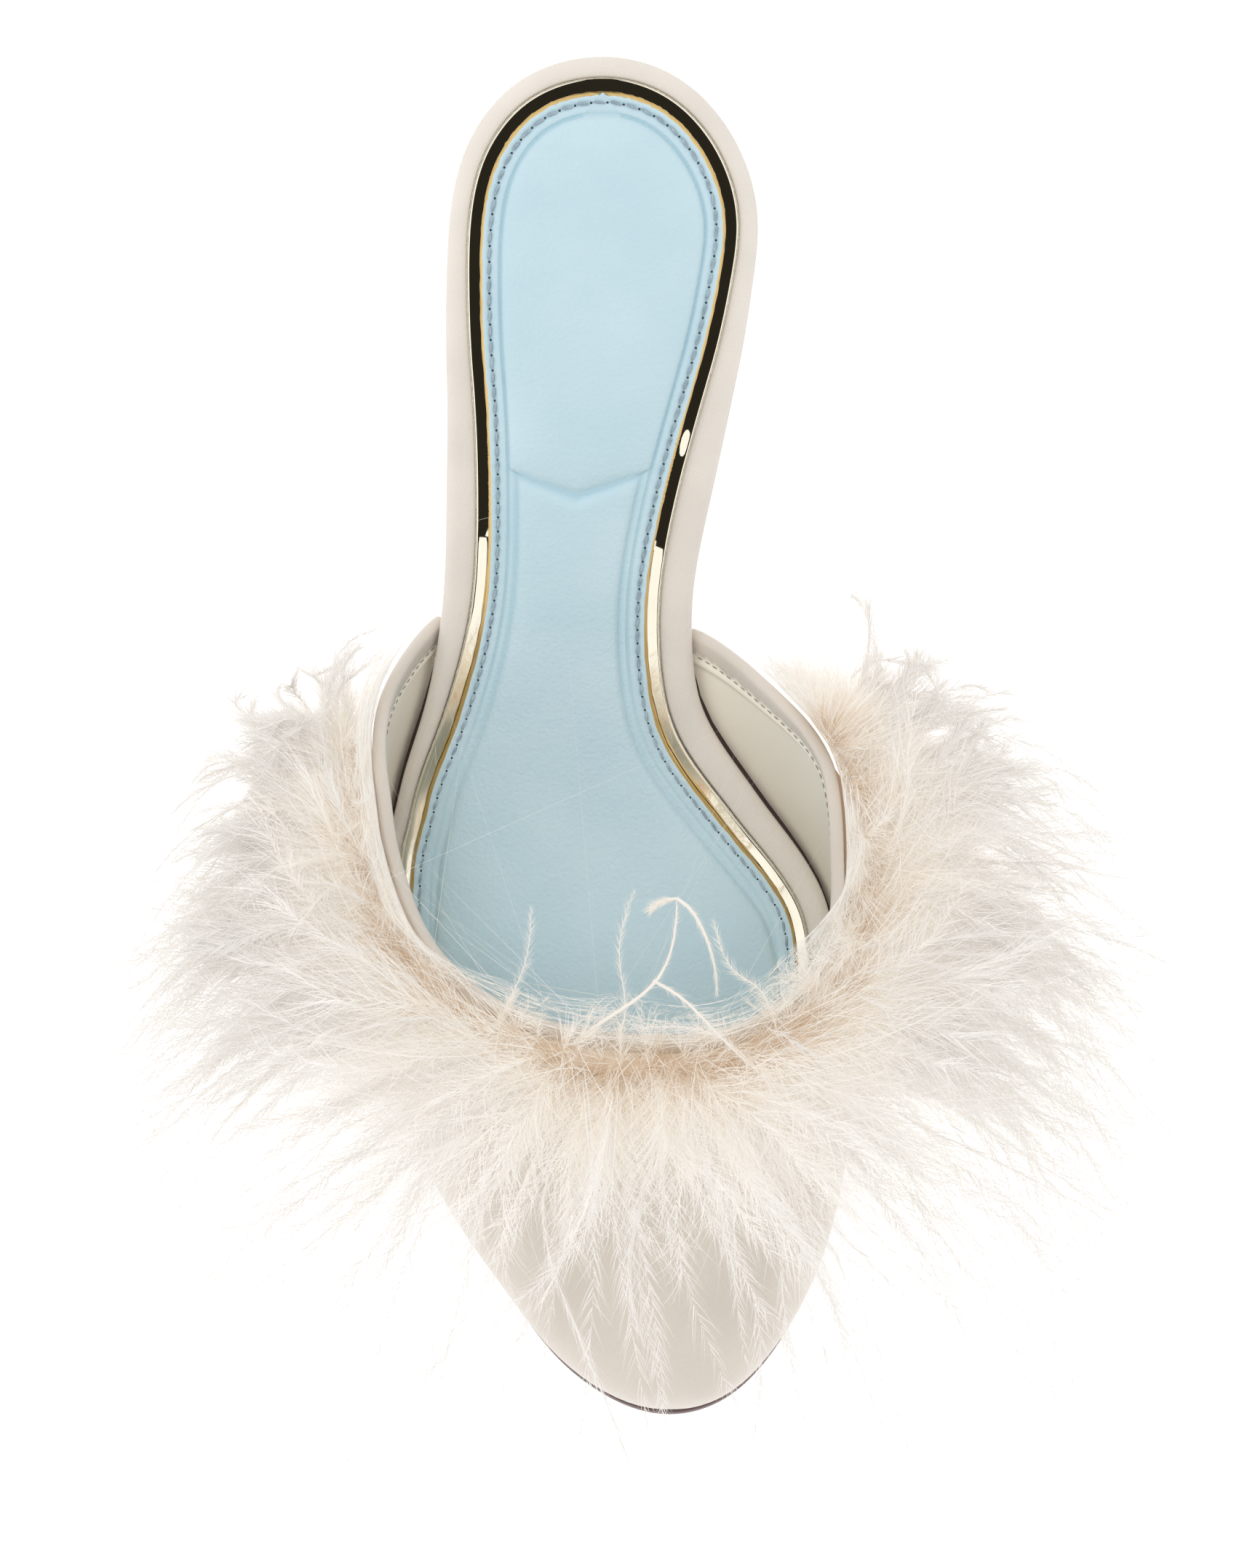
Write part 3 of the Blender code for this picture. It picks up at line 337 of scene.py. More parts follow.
def last_point(turn, quarter):
    """Points on the upper's outer surface."""
    turn, quarter = np.broadcast_arrays(np.asarray(turn, float), np.asarray(quarter, float))
    share = share_at(turn)
    outer = quarter < 1
    feet = {side: edge(turn, side, upper_foot(share, side)) for side in (LEFT, RIGHT)}
    foot = np.where(outer[..., None], feet[LEFT], feet[RIGHT])
    other = np.where(outer[..., None], feet[RIGHT], feet[LEFT])
    toe, throat, ridge, outside, inside = (curve(turn) for curve in SECTION)
    height = TOE_BOX_HEIGHT * toe + (THROAT_HEIGHT - TOE_BOX_HEIGHT) * throat
    ridge = BALL_WIDTH * ridge
    swing = quarter * math.pi / 2
    reach = np.abs(np.cos(swing)) ** SIDE_POWER
    bulge = np.where(outer, -outside * OUTER_ARCH_BELLY, inside * INNER_ARCH_BELLY)
    x = ridge + (foot[..., 0] - ridge) * reach + bulge * belly(quarter)
    along = (foot[..., 1] + other[..., 1]) / 2 + (foot[..., 1] - other[..., 1]) / 2 * reach
    rise = GAP + np.maximum(0.0, height) * np.maximum(0.0, np.sin(swing)) ** TOP_POWER
    return np.stack([x, along - TREAD_FROM_TOE, seat(along)[0] + rise], -1)


def unit(vectors):
    return vectors / np.maximum(np.linalg.norm(vectors, axis=-1, keepdims=True), 1e-12)


def upper_surface(turn, quarter):
    """Points on the upper and their outward normals."""
    step = 2e-3
    turn = np.maximum(turn, step)
    low, high = np.maximum(0.0, quarter - step), np.minimum(2.0, quarter + step)
    forward = last_point(turn + step, quarter) - last_point(turn - step, quarter)
    around = last_point(turn, high) - last_point(turn, low)
    return last_point(turn, quarter), unit(np.cross(around, forward))


def topline(part):
    return half_turn(TOPLINE_ALONG(part)), np.clip(TOPLINE_TURN(part), 0.0, 2.0)


# Meshes and materials


def mesh_piece(name, points, quads, triangles=(), materials=(), index=None, *, slot):
    """A mesh object from arrays of points and of four- and three-cornered faces."""
    quads = np.asarray(quads, np.int32).reshape(-1, 4)
    triangles = np.asarray(triangles, np.int32).reshape(-1, 3)
    mesh = bpy.data.meshes.new(name)
    mesh.vertices.add(len(points))
    mesh.vertices.foreach_set("co", np.asarray(points, np.float32).ravel())
    corners = np.concatenate([quads.ravel(), triangles.ravel()])
    starts = np.concatenate([np.arange(len(quads)) * 4, len(quads) * 4 + np.arange(len(triangles)) * 3])
    mesh.loops.add(len(corners))
    mesh.loops.foreach_set("vertex_index", corners.astype(np.int32))
    mesh.polygons.add(len(starts))
    mesh.polygons.foreach_set("loop_start", starts.astype(np.int32))
    mesh.update(calc_edges=True)
    mesh.validate()
    mesh.polygons.foreach_set("use_smooth", np.ones(len(mesh.polygons), bool))
    for material in materials:
        mesh.materials.append(material)
    if index is not None:
        mesh.polygons.foreach_set("material_index", np.asarray(index, np.int32))
    made = bpy.data.objects.new(name, mesh)
    bpy.context.scene.collection.objects.link(made)
    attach(made, "root")
    return made


def grid_faces(rows, columns, offset=0, closed=False):
    """Faces between neighbouring rows of a grid of points, wrapping round the columns if closed."""
    i, j = np.meshgrid(np.arange(rows - 1), np.arange(columns if closed else columns - 1), indexing="ij")
    k = (j + 1) % columns
    faces = np.stack([i * columns + j, i * columns + k, (i + 1) * columns + k, (i + 1) * columns + j], -1)
    return faces.reshape(-1, 4) + offset


def point_layer(made, name, values, kind="FLOAT", field="value"):
    """Values for each point of a piece, for its material to read."""
    layer = made.data.attributes.new(name, kind, "POINT")
    layer.data.foreach_set(field, np.asarray(values, np.float32).ravel())


def run_of(line):
    """How far along a line each of its points lies."""
    return np.concatenate([[0], np.cumsum(np.linalg.norm(np.diff(line, axis=0), axis=1))])


def points_at(places, line, run):
    return np.stack([np.interp(places, run, line[:, k]) for k in range(3)], -1)


def bell(distance, width):
    return np.exp(-((distance / width) ** 2))


def tube(path, radius, sides, up):
    """Points of a closed tube along a path, with a radius for each of its points."""
    way = unit(np.gradient(path, axis=0))
    side = unit(np.cross(way, np.array(up)))
    top = np.cross(side, way)
    angles = np.arange(sides) * 2 * math.pi / sides
    ring = side[:, None] * np.cos(angles)[None, :, None] + top[:, None] * np.sin(angles)[None, :, None]
    return (path[:, None] + ring * radius[:, None, None]).reshape(-1, 3)


def tubes_piece(name, paths, radii, sides, material, slot, up=(0.0, 0.0, 1.0)):
    """One piece of round tubes along paths."""
    points, quads, offset = [], [], 0
    for path, radius in zip(paths, radii):
        points.append(tube(path, radius, sides, up))
        quads.append(grid_faces(len(path), sides, offset, closed=True))
        offset += len(points[-1])
    return mesh_piece(name, np.concatenate(points), np.concatenate(quads), (), (material,), slot=slot)


class Tree:
    """A short way to add nodes to a tree and to link them."""

    def __init__(self, tree):
        self.nodes, self.links = tree.nodes, tree.links

    def node(self, kind, inputs=None, **settings):
        made = self.nodes.new("ShaderNode" + kind)
        for key, value in settings.items():
            setattr(made, key, value)
        for key, value in (inputs or {}).items():
            if hasattr(value, "is_output"):
                self.links.new(value, made.inputs[key])
            else:
                made.inputs[key].default_value = value
        return made

    def math(self, kind, first, second):
        return self.node("Math", {0: first, 1: second}, operation=kind).outputs[0]


class Paint(Tree):
    """A node material."""

    def __init__(self, name, **values):
        self.material = bpy.data.materials.new(name)
        self.material.use_nodes = True
        super().__init__(self.material.node_tree)
        self.shader = self.nodes["Principled BSDF"]
        for key, value in values.items():
            self.shader.inputs[key.replace("_", " ")].default_value = value

    def coordinates(self, rotation=(0, 0, 0), scale=(1, 1, 1), layer=None):
        if layer:
            source = self.node("Attribute", attribute_name=layer).outputs["Vector"]
        else:
            source = self.node("TexCoord").outputs["Object"]
        return self.node("Mapping", {"Vector": source, "Rotation": rotation, "Scale": scale}).outputs[0]

    def noise(self, scale, detail, vector=None):
        inputs = {"Scale": scale, "Detail": detail, "Vector": vector or self.coordinates()}
        return self.node("TexNoise", inputs).outputs["Fac"]

    def ramp(self, factor, stops):
        made = self.node("ValToRGB", {"Fac": factor})
        while len(made.color_ramp.elements) < len(stops):
            made.color_ramp.elements.new(0.5)
        for element, (position, colour) in zip(made.color_ramp.elements, stops):
            element.position, element.color = position, (*colour, 1.0)
        return made.outputs[0]

    def sum(self, first, second, share=1.0):
        return self.math("ADD", first, self.math("MULTIPLY", second, share))

    def bump(self, height, distance, strength=0.5):
        made = self.node("Bump", {"Height": height, "Distance": distance, "Strength": strength})
        self.links.new(made.outputs[0], self.shader.inputs["Normal"])

    def link(self, output, name):
        self.links.new(output, self.shader.inputs[name])


def satin_material(name, tint, angle=0.6, layer=None):
    paint = Paint(name, Roughness=0.42, Sheen_Weight=0.25, Sheen_Roughness=0.35, Specular_IOR_Level=0.45)
    turned = paint.coordinates(rotation=(0.0, 0.0, angle), layer=layer)
    weave = paint.node("TexWave", {"Vector": turned, "Scale": 820.0, "Distortion": 1.6, "Detail": 1.0,
                                   "Detail Scale": 1.2}).outputs["Fac"]
    slubs = paint.noise(1100.0, 1.0, paint.coordinates((0, 0, angle), (1.0, 0.18, 1.0), layer))
    soft = paint.noise(60.0, 3.0)
    dark, light = tuple(c * 0.93 for c in tint), tuple(min(1.0, c * 1.05) for c in tint)
    paint.link(paint.ramp(paint.sum(soft, weave, 0.28), ((0.35, dark), (0.85, light))), "Base Color")
    paint.bump(paint.sum(weave, slubs, 0.8), 0.00005, 0.55)
    return paint.material


def lining_material():
    paint = Paint("cream_lining", Roughness=0.46, Specular_IOR_Level=0.4)
    soft = paint.noise(45.0, 3.0)
    paint.link(paint.ramp(soft, ((0.3, (0.93, 0.865, 0.745)), (0.7, (0.965, 0.91, 0.80)))), "Base Color")
    paint.bump(paint.noise(1500.0, 2.0), 0.00003, 0.35)
    return paint.material


def leather_material():
    paint = Paint("blue_leather", Roughness=0.40, Specular_IOR_Level=0.5)
    cells = paint.node("TexVoronoi", {"Vector": paint.coordinates(), "Scale": 1350.0, "Smoothness": 0.5},
                       feature="SMOOTH_F1")
    grain = paint.sum(cells.outputs["Distance"], paint.noise(800.0, 4.0), 0.9)
    soft = paint.ramp(paint.noise(55.0, 4.0), ((0.25, (0.520, 0.690, 0.760)), (0.75, (0.590, 0.750, 0.810))))
    # Painted shade: the sock's grooves, stitch trough, ledge side and chevron crease are mixed towards a
    # darker blue
    painted_crease_shade = paint.node("Attribute", attribute_name="painted_crease_shade").outputs["Fac"]
    faint = paint.math("MULTIPLY", painted_crease_shade, 0.55)
    shade = paint.node("Mix", {0: faint, 6: soft, 7: (0.33, 0.56, 0.66, 1.0)}, data_type="RGBA").outputs[2]
    paint.link(shade, "Base Color")
    rough = paint.node("MapRange", {"Value": paint.noise(240.0, 3.0), "To Min": 0.32, "To Max": 0.50})
    paint.link(rough.outputs[0], "Roughness")
    paint.bump(grain, 0.00014)
    return paint.material


def gold_material(name, tint, roughness, ripple):
    paint = Paint(name, Roughness=roughness, Metallic=1.0)
    soft = paint.noise(90.0, 3.0)
    dark = tuple(c * 0.94 for c in tint)
    paint.link(paint.ramp(soft, ((0.3, dark), (0.7, tint))), "Base Color")
    paint.bump(paint.noise(260.0, 2.0), ripple)
    return paint.material


def plain_material(name, dark, light, roughness, scale, bump):
    paint = Paint(name, Roughness=roughness)
    soft = paint.noise(scale, 4.0)
    paint.link(paint.ramp(soft, ((0.3, dark), (0.7, light))), "Base Color")
    paint.bump(paint.noise(scale * 9, 3.0), bump)
    return paint.material


def feather_material(name, root, middle, tip, glow=DOWN_GLOW):
    """Down: coloured from its root to its tip, lit through, and given a faint painted glow that stands in for
    light scattered among the strands.
    """
    # Emission_Strength is the painted glow, emitted in the feather's own colour
    paint = Paint(name, Roughness=0.75, Specular_IOR_Level=0.25, Emission_Strength=glow)
    along = paint.node("Attribute", attribute_name="grown").outputs["Fac"]
    patchy = paint.math("SUBTRACT", paint.noise(70.0, 2.0), 0.5)
    shade = paint.ramp(paint.sum(along, patchy, 0.6), ((0.02, root), (0.42, middle), (0.95, tip)))
    paint.link(shade, "Base Color")
    paint.link(shade, "Emission Color")
    through = paint.node("BsdfTranslucent", {"Color": shade}).outputs[0]
    mixed = paint.node("MixShader", {0: DOWN_TRANSLUCENCE, 1: paint.shader.outputs[0], 2: through})
    paint.links.new(mixed.outputs[0], paint.nodes["Material Output"].inputs["Surface"])
    return paint.material


# Footbed, rand, sock, outsole


def slab_piece(name, turns, profile, material, slot, node):
    """A closed solid that follows the outline, through a profile of (out, rise) for each side."""
    sides = []
    for side, stations in ((LEFT, turns), (RIGHT, turns[::-1])):
        out, rise = profile(share_at(stations), side)
        flat = np.stack([edge(stations, side, row) for row in out])
        sides.append(place(flat[..., 0], flat[..., 1], rise))
    whole = turns[-1] >= 1.0
    rows = np.concatenate([sides[0], sides[1][:, int(whole) : -1]], 1)
    height, count = rows.shape[:2]
    points, quads = [rows.reshape(-1, 3)], [grid_faces(height, count, closed=True)[:, ::-1]]
    n, offset = len(turns), height * count
    right = np.concatenate([[0], np.arange(count - 1, n - 1, -1), [n - 1]])[:n]
    parts = np.linspace(0, 1, CAP_STEPS + 1)[1:-1]
    for row in (0, height - 1):
        left_ids, right_ids = row * count + np.arange(n), row * count + right
        first, second = points[0][left_ids, None], points[0][right_ids, None]
        points.append((first + (second - first) * parts[:, None]).reshape(-1, 3))
        middle_ids = offset + np.arange(n * len(parts)).reshape(n, -1)
        offset += n * len(parts)
        ids = np.concatenate([left_ids[:, None], middle_ids, right_ids[:, None]], 1)
        faces = np.stack([ids[:-1, :-1], ids[:-1, 1:], ids[1:, 1:], ids[1:, :-1]], -1).reshape(-1, 4)
        quads.append(faces if row else faces[:, ::-1])
    quads = np.concatenate(quads)
    same = np.sort(quads, 1)
    short = (same[:, 1:] == same[:, :-1]).sum(1)
    triangles = [list(dict.fromkeys(face)) for face in quads[short == 1].tolist()]
    made = mesh_piece(name, np.concatenate(points), quads[short == 0], triangles, (material,), slot=slot)
    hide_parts(node)


def line_round(count, distance, rise):
    """A line round the shoe, with distance(share, side) out from the footbed's outline."""
    line = []
    for side in (LEFT, RIGHT):
        turns = np.linspace(0, 1, count)[::-side]
        flat = edge(turns, side, distance(share_at(turns), side))
        line.append(place(flat[:, 0], flat[:, 1], np.full(count, rise)))
    return np.concatenate(line)


def stack(out, rise, shape):
    """A profile as arrays of one row for each of its points."""
    outs = np.stack([np.broadcast_to(o, shape) for o in out])
    rises = np.stack([np.broadcast_to(r, shape) for r in rise])
    return outs, rises


def footbed_profile(share, side):
    top, middle = GAP + FOOTBED_THICKNESS, (RECESS_HEIGHT + GAP + FOOTBED_THICKNESS) / 2
    recess = RECESS_DEPTH + (UNDERCUT_DEPTH - RECESS_DEPTH) * smooth_step((share - 0.60) / 0.06)
    width = ring_width(share, side)
    rim = [(out, RECESS_HEIGHT + rise) for out, rise in RIM_BELOW]
    rim += [(0.0, middle), (-0.05, middle + 0.0008)]
    rim += [(out, top + rise) for out, rise in RIM_ABOVE]
    outs = [-recess, -recess] + [out * EDGE_ROUND for out, _ in rim]
    rises = [GAP, RECESS_HEIGHT - 0.0001] + [rise for _, rise in rim]
    outs += [-width + 0.0004, -width + 0.00005, -width]
    rises += [top - 0.00002, top - 0.0001, top - 0.0004]
    return stack(outs, rises, share.shape)


def strip_tilt(share, side):
    """How steeply the mirror strip leans in through the waist, where it shows the light."""
    end = STRIP_GOLD_END[side]
    return STRIP_TILT * smooth_step((share - 0.20) / 0.05) * smooth_step((end - share) / 0.003)


def rand_profile(share, side):
    width = ring_width(share, side)
    lean = strip_tilt(share, side) * STRIP_SHOWN
    dent = GLINT_DEPTH * bell(share - GLINT_AT, GLINT_LENGTH) * (side == RIGHT)
    outs = [-width - 0.0006, -width - 0.00002, -width - 0.00002]
    rises = [RAND_BASE - 0.0002, RAND_BASE - 0.0002, RAND_TOP - 0.0002]
    for inset in STRIP_INSETS:
        across = min(inset / STRIP_SHOWN, 1.0)
        outs.append(-width - inset)
        rises.append(RAND_TOP - 0.00003 * (inset < 0.0001) - lean * across - dent * smooth_step(across))
    return stack(outs, rises, share.shape)


def outsole_profile(share, side):
    wide = upper_foot(share, side) + OUTSOLE_MARGIN
    edge_out = wide - (wide + SHANK_INSET) * smooth_step((share - 0.50) / 0.14)
    outs = [edge_out + out for out, _ in OUTSOLE_RIM]
    return stack(outs, [rise - OUTSOLE_THICKNESS for _, rise in OUTSOLE_RIM], share.shape)


def build_strip_line(material):
    """The thin bright cut edge of the satin along the mirror strip."""
    line = line_round(LINE_STEPS, lambda share, side: -ring_width(share, side) - 0.00001, RAND_TOP)
    line = np.delete(line, (LINE_STEPS, 2 * LINE_STEPS - 1), 0)
    line = np.concatenate([line, line[:1]])
    radius = CUT_EDGE_RADIUS * np.random.default_rng(SEED + 3).uniform(0.7, 1.25, len(line))
    tubes_piece("satin_cut_edge", [line], [radius], 6, material, "satin_footbed")


def sock_edge(share, side):
    return -ring_width(share, side) - SOCK_FROM_RAND_EDGE


def pad_height(inside, x, half, along):
    """The sock's relief over its border, at distances inside its edge, and the painted shade that darkens its
    stitch trough, embossed groove, ledge side and chevron crease.
    """
    trough = bell(inside - STITCH_FROM_EDGE, TROUGH_WIDTH)
    groove = bell(inside - PAD_FROM_SOCK_EDGE, GROOVE_WIDTH)
    point = CHEVRON_POINT * (1 - np.abs(x) / np.maximum(half, 1e-4)) ** 0.9
    gap, share = along - (FOOTBED_LENGTH - CHEVRON_FROM_HEEL - point), along / FOOTBED_LENGTH
    front = smooth_step(-gap / 0.0004)
    ledge = LEDGE_WIDTH * front * smooth_step((share - 0.30) / 0.10)
    past = np.clip(inside - PAD_FROM_SOCK_EDGE - ledge, 0, None)
    swell = 1 - (1 - CROWN_SHARE) * np.exp(-past / PAD_SHOULDER) - CROWN_SHARE * np.exp(-past / PAD_CROWN)
    behind = np.clip(gap, 0, None) / FALL_BEHIND
    before = np.clip(-gap - 0.0009, 0, None) / FALL_BEFORE
    fall = 1 - CHEVRON_FALL * np.exp(-np.where(gap > 0, behind, before))
    # Where the chevron's crease gets painted shade
    painted_crease_shade = bell(gap + 0.0004, CREASE_WIDTH) * smooth_step(past / 0.0012 + 0.3)
    side = front * bell(inside - PAD_FROM_SOCK_EDGE - ledge, LEDGE_SIDE) * (ledge > 0.0004)
    faint = 1 - FAINT_LOSS * smooth_step((FAINT_FROM - share) / FAINT_FADE)
    border = (TROUGH_DEPTH * trough + GROOVE_DEPTH * groove) * faint
    height = SOCK_PAD_RISE * swell * fall - border - LEDGE_DEPTH * side
    # The second value is painted shade: darker in the stitch trough, the embossed groove, the ledge's side
    # and the chevron's crease
    return height, np.clip((0.75 * groove + 0.55 * trough + 0.7 * side) * faint + 0.95 * painted_crease_shade, 0, 1)


def build_sock(material, rim):
    """The sock: a cut gold edge, a stitched border, an embossed line and two padded panels."""
    shown = half_turn(np.linspace(0.685, 0.735, 80))
    turns = np.unique(np.concatenate([np.linspace(0, 1, SOCK_STEPS), shown]))
    share = share_at(turns)
    ends = {side: edge(turns, side, sock_edge(share, side)) for side in (LEFT, RIGHT)}
    half = np.abs(ends[RIGHT][:, 0] - ends[LEFT][:, 0]) / 2
    middle = (ends[RIGHT] + ends[LEFT]) / 2
    limit = np.maximum(half - 0.0002, 1e-5)
    end_gap = np.minimum(share, 1 - share) * FOOTBED_LENGTH

    def padded_row(flat, depth):
        height, painted_crease_shade = pad_height(depth, flat[:, 0] - middle[:, 0], half, flat[:, 1])
        return np.concatenate([place(flat[:, 0], flat[:, 1], SOCK_TOP + height), painted_crease_shade[:, None]], 1)

    rng = np.random.default_rng(SEED + 4)
    rows = {LEFT: [], RIGHT: []}
    for side in (LEFT, RIGHT):
        for inset, rise in SOCK_RIM:
            flat = edge(turns, side, sock_edge(share, side) - inset + 0.00005 * rng.normal(0, 1, len(turns)))
            row = place(flat[:, 0], flat[:, 1], np.full(len(turns), rise))
            rows[side].append(np.concatenate([row, np.zeros((len(turns), 1))], 1))
        for inset in SOCK_INSETS:
            use = np.minimum(inset, limit)
            flat = edge(turns, side, sock_edge(share, side) - use)
            beyond = (flat[:, 0] - middle[:, 0]) * side < 0
            flat = np.where(beyond[:, None], middle, flat)
            rows[side].append(padded_row(flat, np.where(beyond, np.minimum(inset, end_gap), use)))
    last = np.minimum(SOCK_INSETS[-1], limit)
    left, right = (edge(turns, side, sock_edge(share, side) - last) for side in (LEFT, RIGHT))
    wide = right[:, 0] - left[:, 0]
    across = []
    for part in np.linspace(0, 1, 33)[1:-1]:
        flat = np.where(wide[:, None] <= 0, middle, left + (right - left) * part)
        side_gap = np.minimum(part, 1 - part) * np.maximum(wide, 0) + SOCK_INSETS[-1]
        across.append(padded_row(flat, np.minimum(side_gap, half)))
    table = np.stack(rows[LEFT] + across + rows[RIGHT][::-1], 1)
    count = table.shape[1]
    column = np.tile(np.arange(count - 1), len(table) - 1)
    index = ((column < 3) | (column > count - 5)).astype(int)
    made = mesh_piece("sock_skin", table[..., :3].reshape(-1, 3), grid_faces(len(table), count), (),
                      (material, rim), index, slot="blue_leather")
    # Painted shade for the grooves and the crease, read by the leather's material
    point_layer(made, "painted_crease_shade", table[..., 3])
    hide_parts("sock")


def build_stitches(thread, hole_shade):
    """The sock's stitches, each a short twisted bar between two needle holes, with near-black tubes of
    painted shade sunk in the holes.
    """
    line = line_round(STITCH_LINE_STEPS, lambda share, side: sock_edge(share, side) - STITCH_FROM_EDGE,
                      SOCK_TOP + 0.00002)
    run = run_of(line)
    parts = np.linspace(-0.5, 0.5, 7)
    arch = 1 - (2 * parts) ** 4
    stitches, radii, holes = [], [], []
    rng = np.random.default_rng(SEED)
    for centre in np.arange(0.004, run[-1] - 0.004, STITCH_PITCH):
        path = points_at(centre + parts * STITCH_LENGTH * rng.uniform(0.92, 1.04), line, run)
        across = unit(np.cross(path[-1] - path[0], [0.0, 0.0, 1.0]))
        path += across * parts[:, None] * STITCH_TWIST
        path[:, 2] += STITCH_ARCH * arch - STITCH_SINK
        stitches.append(path)
        radii.append(STITCH_RADIUS * np.sqrt(np.clip(arch, 0.05, 1)) * rng.uniform(0.92, 1.08))
        ends = points_at(centre + STITCH_PITCH * 0.5 + np.array([-HOLE_HALF, HOLE_HALF]), line, run)
        # Each needle hole gets a small near-black tube of painted shade
        holes.append(np.linspace(*ends, 3) - [0, 0, 0.00014])
    tubes_piece("sock_stitches", stitches, radii, 6, thread, "blue_leather")
    # Painted shade: the tubes that darken the needle holes
    dot = np.array([0.00005, HOLE_HALF, 0.00005])
    tubes_piece("painted_hole_shade_tubes", holes, [dot] * len(holes), 6, hole_shade, "blue_leather")


# Upper


def build_upper(satin, lining, seam):
    """The vamp: satin outside and folded over the topline, cream lining inside."""
    swell = (TOPLINE_WALL - UPPER_WALL) / 2
    end, quarter = topline(np.linspace(0, 1, UPPER_COLUMNS))
    forward = last_point(end, quarter) - last_point(end - 0.01, quarter)
    band = 0.01 * TOPLINE_BAND / np.linalg.norm(forward, axis=-1)
    body = np.linspace(0, 1, UPPER_ROWS)[:, None] * (end - BAND_FROM * band)[None]
    turns = np.concatenate([np.maximum(body, FIRST_TURN), end[None] - BAND_ROWS[:, None] * band[None]])
    bands_in = (end[None] - turns) / band[None]
    near = 1 - smooth_step(bands_in - SWELL_FROM)
    surface, normal = upper_surface(turns, np.broadcast_to(quarter, turns.shape))
    outer = surface + normal * (swell * near)[..., None]
    fold = bands_in < FOLD_EDGE + PINKING * (np.arange(UPPER_COLUMNS)[None] % 2)
    lip = np.clip((bands_in - LIP_FROM) / LIP_WIDE, 0, 1)
    depth = UPPER_WALL + swell * near - np.where(fold, 0.0, LINING_STEP) + LIP_SWELL * np.sin(math.pi * lip)
    inner = surface - normal * depth[..., None]
    way = unit(outer[-1] - outer[-2])
    middle, half = (outer[-1] + inner[-1]) / 2, (outer[-1] - inner[-1]) / 2
    angles = np.linspace(0, math.pi, 9)[1:-1, None, None]
    rim = middle + half * np.cos(angles) + way * RIM_ROUND * TOPLINE_WALL * np.sin(angles)
    sheet = np.concatenate([outer, rim, inner[::-1]])
    low, high = np.arange(UPPER_COLUMNS - 1), (len(sheet) - 1) * UPPER_COLUMNS
    closing = np.stack([low, low + high, low + high + 1, low + 1], -1)
    quads = np.concatenate([grid_faces(len(sheet), UPPER_COLUMNS), closing])
    index = np.zeros((len(sheet), UPPER_COLUMNS - 1), int)
    back = fold[::-1]
    index[-len(inner) : -1] = ~(back[:-1] & back[1:])[:, :-1]
    made = mesh_piece("upper_shell", sheet.reshape(-1, 3), quads, (), (satin, lining), index.ravel(),
                      slot="satin_upper")
    cloth = np.zeros(sheet.shape)
    cloth[:, 1:, 0] = np.cumsum(np.linalg.norm(np.diff(sheet, axis=1), axis=-1), axis=1)
    cloth[1:, :, 1] = np.cumsum(np.linalg.norm(np.diff(sheet, axis=0), axis=-1), axis=0)
    cloth[..., 0] -= cloth[:, UPPER_COLUMNS // 2, None, 0]
    point_layer(made, "cloth", cloth, "FLOAT_VECTOR", "vector")
    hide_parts("upper")
    build_topline_seam(seam, end - SEAM_FROM * band, quarter, UPPER_WALL + swell * 0.9 + 0.00005)


def build_topline_seam(material, turns, quarter, depth):
    """The fine stitches that hold the folded satin to the lining."""
    surface, normal = upper_surface(turns, quarter)
    line = surface - normal * depth
    run = run_of(line)
    centres = np.arange(0.001, run[-1] - 0.001, SEAM_PITCH)
    paths = [points_at(centre + np.linspace(-0.00055, 0.00055, 4), line, run) for centre in centres]
    radius = np.array([0.00004, 0.00010, 0.00010, 0.00004])
    tubes_piece("topline_seam", paths, [radius] * len(paths), 5, material, "satin_upper", (0.2, 0.1, 1.0))


# Heel


def seat_ring(inset, steps):
    breast = half_turn(1 - BREAST_FROM_HEEL / FOOTBED_LENGTH)
    turns = np.linspace(breast, 1.0, steps)
    left, right = edge(turns, LEFT, -inset), edge(turns[:-1], RIGHT, -inset)
    flat = np.concatenate([left, right[::-1]])
    return place(flat[:, 0], flat[:, 1], np.zeros(len(flat)))


def tip_ring(seat_points, height):
    back = seat_points[:, 1].max() - TIP_FROM_HEEL
    swing = math.pi * np.linspace(0, 1, len(seat_points)) - math.pi / 2
    x = TIP_WIDTH / 2 * np.sign(np.sin(swing)) * np.abs(np.sin(swing)) ** 0.8
    y = back - TIP_LENGTH + TIP_LENGTH * np.abs(np.cos(swing)) ** 0.62
    return np.stack([x, y, np.full(len(x), height)], -1)


def with_breast(ring):
    """A ring closed by evenly spaced points across the breast."""
    parts = np.linspace(0, 1, BREAST_STEPS + 2)[1:-1, None]
    return np.concatenate([ring, ring[-1] + (ring[0] - ring[-1]) * parts])


def build_loft(name, rings, material, slot, node):
    rings = np.stack([with_breast(ring) for ring in rings])
    count = rings.shape[1]
    quads = grid_faces(len(rings), count, closed=True)
    points = np.concatenate([rings.reshape(-1, 3), rings[0].mean(0)[None], rings[-1].mean(0)[None]])
    first = np.arange(count)
    following, low = (first + 1) % count, (len(rings) - 1) * count
    top = np.stack([following, first, np.full(count, len(points) - 2)], -1)
    bottom = np.stack([low + first, low + following, np.full(count, len(points) - 1)], -1)
    made = mesh_piece(name, points, quads, np.concatenate([top, bottom]), (material,), slot=slot)
    made.data.set_sharp_from_angle(angle=math.radians(50))
    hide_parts(node)


